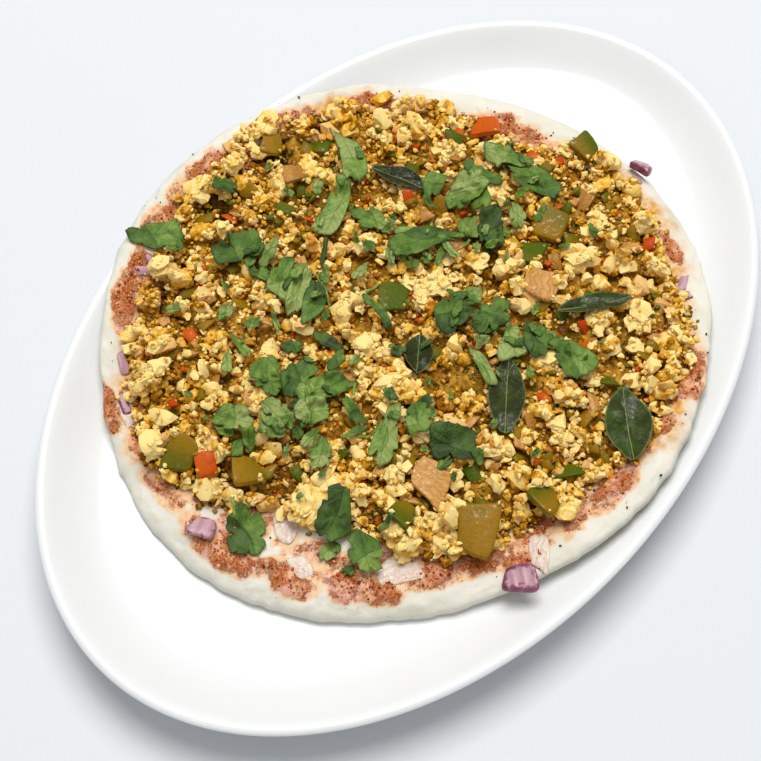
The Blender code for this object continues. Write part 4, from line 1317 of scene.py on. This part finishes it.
class UTTAPAM_OT_crumbs(bpy.types.Operator):
    """Paneer crumbs of three sizes and masala grains, each settled on what lies under it."""

    bl_idname = "uttapam.crumbs"
    bl_label = "Crumbs"

    def settle(self, x, y, radius, sink, batches, flat=0.8):
        """Middles of the crumbs: on the mean ground, raised by part of the radius, batch by batch."""
        land = ground()
        z = np.zeros(len(x))
        for batch in np.array_split(np.arange(len(x)), batches):
            bx, by, br = x[batch], y[batch], radius[batch]
            z[batch] = land.around(bx, by, 0.55 * br) + (1 - sink) * br * flat
            z[batch] = np.minimum(z[batch], CRUMB_CEILING - br * flat)
            land.lay_domes(bx, by, z[batch], br * 0.9, br * flat * 0.9)
        return np.stack([x, y, z], 1)

    def spots(self, rng, count, groups, spread, outside):
        """Places over the topping, drawn together round group middles, and more of them along its edge."""
        radius = bpy.context.scene.heap_sizes.radius / MM
        turn = random_turns(rng, groups)
        reach = (waved(radius, HEAP_WAVES, turn) + spill(turn) + 1.5) * np.sqrt(rng.uniform(0, 1, groups))
        middles = placed(HEAP_CENTRE, reach, turn)
        member = rng.integers(0, groups, count)
        inner = [middle[member] + rng.normal(0, spread, count) for middle in middles]
        turn = random_turns(rng, count // 9)
        reach = waved(radius, HEAP_WAVES, turn) + spill(turn) - rng.normal(1.4, 1.5, len(turn))
        x, y = (np.concatenate(pair) for pair in zip(placed(HEAP_CENTRE, reach, turn), inner))
        member = np.concatenate([rng.integers(0, groups, len(turn)), member])
        inset = heap_inset(x, y) + spill(np.arctan2(y - HEAP_CENTRE[1], x - HEAP_CENTRE[0]))
        frayed = 1.0 + 2.6 * plan_noise(x, y, 6.0, 41) + outside * rng.random(len(x)) ** 4
        keep = inset > -np.maximum(frayed, 0)
        return x[keep], y[keep], member[keep]

    def execute(self, context):
        sizes = context.scene.heap_sizes
        rng = np.random.default_rng(19)
        coarse = paneer_look("paneer", 1.2)
        keep = np.array(laid["keep"])
        largest_x, largest_y, largest = BIG_CHUNKS[0]

        def clear(x, y, margin):
            """Whether a point is farther from each kept place than 0.85 of its size and a margin."""
            return (apart(x, y, keep) > keep[:, 2] * 0.85 + margin[:, None]).all(axis=1)

        def on_largest(x, y, share):
            """Whether a point is within a share of the largest chunk's size from its middle."""
            return np.hypot(x - largest_x, y - largest_y) < share * largest

        def small_crumbs(count, groups, spread, outside, typical, least, most, sink, batches, flat, covered):
            """Small crumbs at drawn places: their middles, groups, sizes and mesh."""
            x, y, member = self.spots(rng, count, groups, spread, outside)
            radius = log_sizes(rng, len(x), typical, 0.3, least, most)
            ok = clear(x, y, radius * 0.2 - 1.0) & ~on_largest(x, y, covered)
            radius = radius[ok]
            middles = self.settle(x[ok], y[ok], radius, sink, batches, flat)
            points, faces = scattered(rng, *chunks(rng, 24, 1, 6, 0, 0.08), middles, radius * 1.2, flat)
            keep_under(points, CRUMB_CEILING)
            return middles, member[ok], radius, points, faces

        def standing(middles, radius):
            """Height of crumbs over the mean ground round them, from -1.2 to 1; it paints shade into sunk
            crumbs and light onto raised ones.
            """
            level = ground().smoothed(3.0).at(middles[:, 0], middles[:, 1])
            return np.clip((middles[:, 2] + 0.7 * radius - level) / 1.5, -1.2, 1)

        def over_middle(points, middles, radius):
            """Height of each point over its crumb's middle, in radii; it paints light on crumb tops and
            shade at their feet.
            """
            return (points[:, 2].reshape(len(radius), -1) - middles[:, 2:]) / radius[:, None]

        masala = masala_look("masala_grains", (92, 54, 12), (176, 116, 36), (226, 174, 92))
        row = sizes.masala, 800, 2.4, 4.0, 0.6, 0.35, 1.2, 0.5, 4, 0.6, 0.0
        middles, _, _, points, faces = small_crumbs(*row)
        fields = {"tone": shares(rng, 0.56, 0.25, len(middles)), "hue": rng.random(len(middles))}
        put_mesh("masala_bits", points, faces, masala, fields)

        big = np.array(BIG_CHUNKS, float)
        more = np.stack([rng.uniform(*span, 130) for span in (ALONG, (-85, 96), (3.6, 6.0))], 1)
        big = np.concatenate([big, more[heap_inset(more[:, 0], more[:, 1]) > 5]])
        leaves = np.array([row[:2] + (max(row[3:]) / 2,) for row in CORIANDER + CURRY])

        def under_leaf(x, y):
            """Whether a point is within 0.8 of the half length of a leaf."""
            return (apart(x, y, leaves) < 0.8 * leaves[:, 2]).any(axis=1)

        listed = np.arange(len(big)) < len(BIG_CHUNKS)
        x, y, size = big.T
        big = big[clear(x, y, size * 0.35) & (listed | ~under_leaf(x, y))]
        x, y, size = big.T
        radius = np.where(size >= LARGE_CHUNK, 0.36, 0.5) * size
        middles = self.settle(x, y, radius, 0.62, 1)
        points, faces = scattered(rng, *chunks(rng, 16, 4, 9, 70, 0.02, 0.17), middles, radius * 1.12)
        tone = np.clip(0.58 + 0.05 * (size - 6) + rng.normal(0, 0.14, len(big)), 0, 1.0)[:, None]
        # Each chunk lighter at its top as painted light, darker at its foot partly as masala stain and
        # partly as painted shade.
        tone = tone + 0.14 * over_middle(points, middles, radius)
        keep_under(points, CRUMB_CEILING)
        put_mesh("paneer_chunks", points, faces, coarse, {"tone": tone, "hue": 0.0})

        def on_chunk(x, y):
            """Whether a point is within half the size of a chunk."""
            return (apart(x, y, big) < 0.5 * big[:, 2]).any(axis=1)

        curds = np.concatenate([
            [(cx, cy, size, rng.uniform(0.16, 0.3) * size) for _ in range(int(round((size / 2.4) ** 2)))]
            for cx, cy, size in BIG_CHUNKS if size >= LARGE_CHUNK
        ])
        turn, share = random_turns(rng, len(curds)), 0.46 * np.sqrt(rng.random(len(curds)))
        curd_places = placed(curds.T, curds[:, 2] * share, turn)
        x, y, member = self.spots(rng, sizes.lumps, LUMP_GROUPS, 2.1, 5.0)
        radius = log_sizes(rng, len(x), 1.75, 0.38, 0.9, 3.4)
        radius = np.where(under_leaf(x, y), np.minimum(radius, 1.5), radius)
        ok = clear(x, y, radius * 0.4) & ~on_largest(x, y, 0.5)
        x, y = (np.concatenate(pair) for pair in zip(curd_places, (x[ok], y[ok])))
        member = np.concatenate([np.zeros(len(curds), int), member[ok]])
        radius = np.concatenate([np.minimum(curds[:, 3], 2.9), radius[ok]])
        middles = self.settle(x, y, radius, 0.35, 12)
        points, faces = scattered(rng, *chunks(rng, 32, 2, 9, 0, 0.06, 0.2), middles, radius * 1.1)
        tone = rng.normal(0.52, 0.29, LUMP_GROUPS)[member] + 0.14 * (radius - 1.4)
        tone = np.clip(tone + rng.normal(0, 0.1, len(x)), 0, 1)
        tone = np.where(on_chunk(x, y), np.maximum(tone, rng.normal(0.72, 0.1, len(x))), tone)
        tone[:len(curds)] = rng.normal(0.86, 0.08, len(curds))
        # Painted shade and light: crumbs sunk in hollows darker, crumbs standing high lighter.
        tone = tone + 0.2 * standing(middles, radius)
        hue = np.clip(rng.normal(0.38, 0.28, LUMP_GROUPS)[member] + rng.normal(0, 0.1, len(x)), 0, 1)
        hue = np.where(on_chunk(x, y), 0.3 * hue, hue)
        # Each crumb lighter at its top as painted light, darker at its foot partly as masala stain and
        # partly as painted shade.
        tone = tone[:, None] + 0.16 * over_middle(points, middles, radius)
        keep_under(points, CRUMB_CEILING)
        made = put_mesh("paneer_lumps", points, faces, coarse, {"tone": tone, "hue": hue})
        made.data.set_sharp_from_angle(angle=math.radians(34))

        fine = paneer_look("paneer_fine", 0.7)
        row = sizes.grains, GRAIN_GROUPS, 2.0, 8.0, 0.72, 0.4, 1.3, 0.3, 6, 0.8, 0.42
        middles, member, radius, points, faces = small_crumbs(*row)
        x, y, _ = middles.T
        tone = np.clip(rng.normal(0.48, 0.27, GRAIN_GROUPS)[member] + rng.normal(0, 0.14, len(x)), 0, 1)
        tone = np.where(on_chunk(x, y), np.maximum(tone, rng.normal(0.7, 0.12, len(x))), tone)
        # Painted shade and light: grains sunk in hollows darker, grains standing high lighter.
        tone = tone + 0.22 * standing(middles, radius)
        hue = shares(rng, 0.4, 0.28, GRAIN_GROUPS)[member]
        hue = np.where(on_chunk(x, y), 0.3 * hue, hue)
        put_mesh("paneer_grains", points, faces, fine, {"tone": tone, "hue": hue}, False)

        laid["soft"] = ground().smoothed(2.5)
        for name in ("paneer_chunks", "paneer_lumps", "paneer_grains"):
            data = bpy.data.objects[name].data
            points = np.empty(3 * len(data.vertices), np.float32)
            data.vertices.foreach_get("co", points)
            ground().raise_to(*(points.reshape(-1, 3) / MM).T)
        return {"FINISHED"}


class UTTAPAM_OT_chutney(bpy.types.Operator):
    """Loose chutney grains and pepper specks on the bread."""

    bl_idname = "uttapam.chutney"
    bl_label = "Chutney"

    def execute(self, context):
        rng = np.random.default_rng(23)
        shapes, triangles = chunks(rng, 16, 1, 6, 0, 0.08)
        turn = random_turns(rng, 16000)
        x, y = placed(BREAD_CENTRE, rng.uniform(80, 106, len(turn)), turn)
        share, dark = chutney_share(x, y)
        keep = share + rng.normal(0, 0.16, len(x)) > 0.8
        keep = keep & (heap_inset(x, y) < 1.0) & (bread_inset(x, y) > 2.0)
        x, y, dark = (value[keep][:1500] for value in (x, y, dark))
        radius = log_sizes(rng, len(x), 0.34, 0.32, 0.2, 0.7)
        z = bread_top(x, y) + 0.15 + 0.2 * radius
        points, faces = scattered(rng, shapes, triangles, np.stack([x, y, z], 1), radius, 0.7)
        tone = np.clip(rng.normal(0.55, 0.25, len(x)) - 0.25 * dark, 0, 1)
        look = masala_look("chutney", (128, 46, 14), (194, 98, 44), (234, 164, 108))
        put_mesh("chutney_grains", points, faces, look, {"tone": tone})

        turn = random_turns(rng, 150)
        x, y = placed(BREAD_CENTRE, rng.uniform(88, 103, len(turn)), turn)
        keep = bread_inset(x, y) > 1.5
        x, y = x[keep], y[keep]
        radius = log_sizes(rng, len(x), 0.3, 0.35, 0.16, 0.7)
        places = np.stack([x, y, bread_top(x, y) - 0.1], 1)
        points, faces = scattered(rng, shapes, triangles, places, radius, 0.6)
        look = masala_look("pepper", (22, 16, 12), (50, 40, 32), (96, 78, 60))
        put_mesh("pepper_specks", points, faces, look, {"tone": rng.random(len(x))})
        return {"FINISHED"}


class UTTAPAM_OT_red_onion(bpy.types.Operator):
    """Red onion pressed into the rim of the bread, with pale slivers further in."""

    bl_idname = "uttapam.red_onion"
    bl_label = "Red onion"

    def execute(self, context):
        rng = np.random.default_rng(29)
        look = red_onion_look()
        for index in (1, 2, 3):
            node = f"red_onion_{index}"
            low, high = (np.array(corner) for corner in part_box(node))
            x, y = (low + high)[:2] / 2 / MM
            low[2] = min(low[2], (float(bread_top(x, y)) - 0.3) * MM) if bread_inset(x, y) > 1 else low[2]
            row = (x, y, rng.uniform(0, 360), (high[0] - low[0]) / MM, (high[1] - low[1]) / MM, 2.6)
            points, triangles, fields = place_cut(rng, row, (low, high), 0.5, 1.0, 0.45)
            fields["tone"] = 0.5 * (index > 1)
            made = put_mesh(f"red_onion_piece_{index}", points, triangles, look, fields)
            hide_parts(node)
        parts = []
        for row in RIM_ONION:
            points, triangles, fields = place_cut(rng, (*row, 1.1), None, 0.3, 0.5)
            points[:, 2] += bread_top(points[:, 0], points[:, 1]) + 0.1
            keep_under(points, CEILING)
            fields["tone"] = rng.uniform(-0.4, 0.6)
            parts.append((points, triangles, fields))
        put_parts("red_onion_slivers", parts, look)
        shades = (226, 214, 200), (222, 196, 160), (206, 160, 132)
        pale = vegetable_look("pale_onion", *shades, 0.3, 0.1, 0.35)
        parts = []
        for row in PALE_ONION:
            points, triangles, fields = place_cut(rng, (*row, 1.6), None, 0.4, 1.0, 0.5)
            points[:, 2] += bread_top(points[:, 0], points[:, 1]) - 0.5
            points[:, 2] += 0.5 * plan_noise(points[:, 0], points[:, 1], 2.4, 61)
            fields["tone"] = np.clip(fields["edge"] - 0.5, 0, 1) * rng.uniform(0, 1)
            parts.append((points, triangles, fields))
        put_parts("pale_onion_slivers", parts, pale)
        return {"FINISHED"}


class UTTAPAM_OT_curry_leaves(bpy.types.Operator):
    """Curry leaves: pointed, folded along the middle rib and lying on the topping."""

    bl_idname = "uttapam.curry_leaves"
    bl_label = "Curry leaves"

    def execute(self, context):
        rng = np.random.default_rng(31)
        thickness = context.scene.green_sizes.curry_thickness / MM
        look = curry_look()
        for index, (x, y, heading, length, width) in enumerate(CURRY, start=1):
            rim = pointed_rim(LEAF_TURNS, length, width)
            points, triangles, fields = sheet_form(rng, x, y, heading, rim, 10, thickness, 0.5, 1.2, 0.5)
            fields["tone"] = CURRY_TONES[index - 1]
            made = put_mesh(f"curry_leaf_piece_{index}", points, triangles, look, fields)
            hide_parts(f"curry_leaf_{index}")
        return {"FINISHED"}


class UTTAPAM_OT_coriander(bpy.types.Operator):
    """Chopped coriander: a leaf for each node, with shreds and stalks between."""

    bl_idname = "uttapam.coriander"
    bl_label = "Coriander"

    def execute(self, context):
        rng = np.random.default_rng(37)
        thickness = context.scene.green_sizes.coriander_thickness / MM
        look = leaf_look()

        def shreds(rows):
            """Small leaves for listed rows, each of its own wave, fold and tone."""
            parts = []
            for x, y, heading, length, width in rows:
                rim = lobed_rim(rng, SHRED_TURNS, length, width)
                wave, fold = rng.uniform(0.2, 0.7), rng.uniform(-0.4, 0.9)
                form = sheet_form(rng, x, y, heading, rim, 4, thickness, wave, fold, 0.4)
                points, triangles, fields = form
                fields["along"] = fields["along"] + length / 2
                fields["tone"] = shares(rng, 0.6, 0.28)
                fields["hue"] = 0.75 * float(rng.random() > 0.82)
                parts.append((points, triangles, fields))
            return parts

        near = []
        for row in CORIANDER * 2:
            size = rng.uniform(3.4, 7.6)
            x, y, heading = (value + rng.normal(0, spread) for value, spread in zip(row, (5.5, 5.5, 50)))
            near.append((x, y, heading, size, size * rng.uniform(0.35, 0.7)))
        near = [row for row in near if heap_inset(*row[:2]) > 2]
        half = len(near) // 2
        parts = shreds(SHREDS) + shreds(near[:half])
        for index, (x, y, heading, length, width) in enumerate(CORIANDER, start=1):
            rim = lobed_rim(rng, LEAF_TURNS, length, width)
            wave, fold = rng.uniform(0.3, 1.0), rng.uniform(-0.8, 1.2)
            points, triangles, fields = sheet_form(rng, x, y, heading, rim, 9, thickness, wave, fold)
            fields["along"] = fields["along"] + length / 2
            fields["tone"] = LEAF_TONES.get(index - 1, np.clip(rng.normal(0.6, 0.24), 0.1, 1))
            fields["hue"] = 0.0
            made = put_mesh(f"coriander_leaf_{index:02d}", points, triangles, look, fields)
            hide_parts(f"coriander_{index:02d}")
        turn = random_turns(rng, LOOSE_SHREDS)
        extra = []
        for place in zip(*placed(HEAP_CENTRE, 84 * np.sqrt(rng.uniform(0, 0.9, LOOSE_SHREDS)), turn)):
            length = rng.uniform(2.5, 6.0)
            extra.append((*place, rng.uniform(0, 360), length, length * rng.uniform(0.3, 0.7)))
        parts += shreds(extra) + shreds(near[half:])
        put_parts("coriander_shreds", parts, look)

        parts = []
        for x, y, heading, length in STEMS:
            t = np.linspace(-0.5, 0.5, STALK_RINGS)
            across = rng.uniform(-1.2, 1.2) * (4 * t * t - 1)
            px, py = flat_turn(x, y, heading, length * t, across)
            pz = ground().smoothed(1.0).at(px, py) + 0.5
            turn = even_turns(STALK_TURNS)
            width = 0.62 * np.sqrt(np.clip(1 - (2 * t) ** 8, 0.1, 1))
            path = np.stack([px, py, pz], 1)
            ahead = np.gradient(path, axis=0)
            ahead = ahead / np.linalg.norm(ahead, axis=1, keepdims=True)
            side = np.cross(ahead, [0, 0, 1.0])
            up = np.cross(side, ahead)
            ring = path[:, None] + width[:, None, None] * (
                np.cos(turn)[None, :, None] * side[:, None] - np.sin(turn)[None, :, None] * up[:, None]
            )
            ring[..., 2] = np.minimum(ring[..., 2], CEILING)
            points = ring_points(ring[..., 0], ring[..., 1], ring[..., 2], path[0], path[-1])
            fields = {"along": 3.0, "across": 0.6, "crease": 9.0, "rim": 0.0, "tone": 0.75, "hue": 0.75}
            parts.append((points, ring_triangles(STALK_RINGS, STALK_TURNS), fields))
        put_parts("coriander_stalks", parts, look)
        return {"FINISHED"}


class UTTAPAM_OT_stage(bpy.types.Operator):
    """Pale floor, soft lights from above and behind on the left, and the camera."""

    bl_idname = "uttapam.stage"
    bl_label = "Stage"

    def execute(self, context):
        sizes = context.scene.stage_sizes
        scene = context.scene
        bpy.ops.mesh.primitive_plane_add(size=4.0)
        floor = context.object
        floor.name = "floor"
        floor.data.materials.append(floor_look())
        look_at = Vector(LOOK_AT)
        level, rise = sizes.heading, sizes.elevation
        ahead = Vector((math.cos(level) * math.cos(rise), math.sin(level) * math.cos(rise), -math.sin(rise)))
        right = Vector((math.sin(level), -math.cos(level), 0.0))
        up = right.cross(ahead)
        data = bpy.data.cameras.new("view")
        data.sensor_width = SENSOR
        data.lens = SENSOR / 2 / math.tan(math.radians(FIELD / 2))
        data.clip_start = 0.01
        camera = bpy.data.objects.new("view", data)
        camera.rotation_euler = Matrix((right, up, -ahead)).transposed().to_euler()
        camera.location = look_at - ahead * sizes.distance
        scene.collection.objects.link(camera)
        scene.camera = camera
        flat_ahead = Vector((ahead.x, ahead.y, 0)).normalized()
        for name, forward, sideways, height, size, share, colour in LAMPS:
            place = flat_ahead * forward + right * sideways + Vector((0, 0, height))
            light = bpy.data.lights.new(name, "AREA")
            light.shape = "DISK"
            light.size = size
            light.energy = sizes.key * share
            light.color = colour
            lamp = bpy.data.objects.new(name, light)
            lamp.location = place
            lamp.rotation_euler = (look_at - place).to_track_quat("-Z", "Y").to_euler()
            scene.collection.objects.link(lamp)
        world = bpy.data.worlds.new("studio")
        world.use_nodes = True
        back = world.node_tree.nodes["Background"]
        back.inputs["Color"].default_value = SKY
        back.inputs["Strength"].default_value = sizes.fill
        scene.world = world
        scene.view_settings.view_transform = "Standard"
        return {"FINISHED"}


class UTTAPAM_PT_panel(bpy.types.Panel):
    """Lists the sizes and the pieces in the order they are laid."""

    bl_idname = "UTTAPAM_PT_panel"
    bl_label = "Uttapam"
    bl_space_type = "VIEW_3D"
    bl_region_type = "UI"
    bl_category = "Uttapam"

    def draw(self, context):
        for name in SETTINGS:
            group = getattr(context.scene, name)
            for key in group.__annotations__:
                self.layout.prop(group, key)
        for operator in OPERATORS:
            self.layout.operator(operator.bl_idname)


SETTINGS = {
    "platter_sizes": PlatterSizes,
    "bread_sizes": BreadSizes,
    "heap_sizes": HeapSizes,
    "green_sizes": GreenSizes,
    "stage_sizes": StageSizes,
}
OPERATORS = (
    UTTAPAM_OT_platter,
    UTTAPAM_OT_bread,
    UTTAPAM_OT_core,
    UTTAPAM_OT_vegetables,
    UTTAPAM_OT_crumbs,
    UTTAPAM_OT_chutney,
    UTTAPAM_OT_red_onion,
    UTTAPAM_OT_curry_leaves,
    UTTAPAM_OT_coriander,
    UTTAPAM_OT_stage,
)


def register():
    for name, group in SETTINGS.items():
        bpy.utils.register_class(group)
        setattr(bpy.types.Scene, name, bpy.props.PointerProperty(type=group))
    for operator in OPERATORS:
        bpy.utils.register_class(operator)
    bpy.utils.register_class(UTTAPAM_PT_panel)


def unregister():
    bpy.utils.unregister_class(UTTAPAM_PT_panel)
    for operator in reversed(OPERATORS):
        bpy.utils.unregister_class(operator)
    for name, group in reversed(SETTINGS.items()):
        delattr(bpy.types.Scene, name)
        bpy.utils.unregister_class(group)


def main():
    """Builds every piece in order."""
    register()
    for operator in OPERATORS:
        area, name = operator.bl_idname.split(".")
        getattr(getattr(bpy.ops, area), name)()
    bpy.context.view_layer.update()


if __name__ == "__main__":
    main()
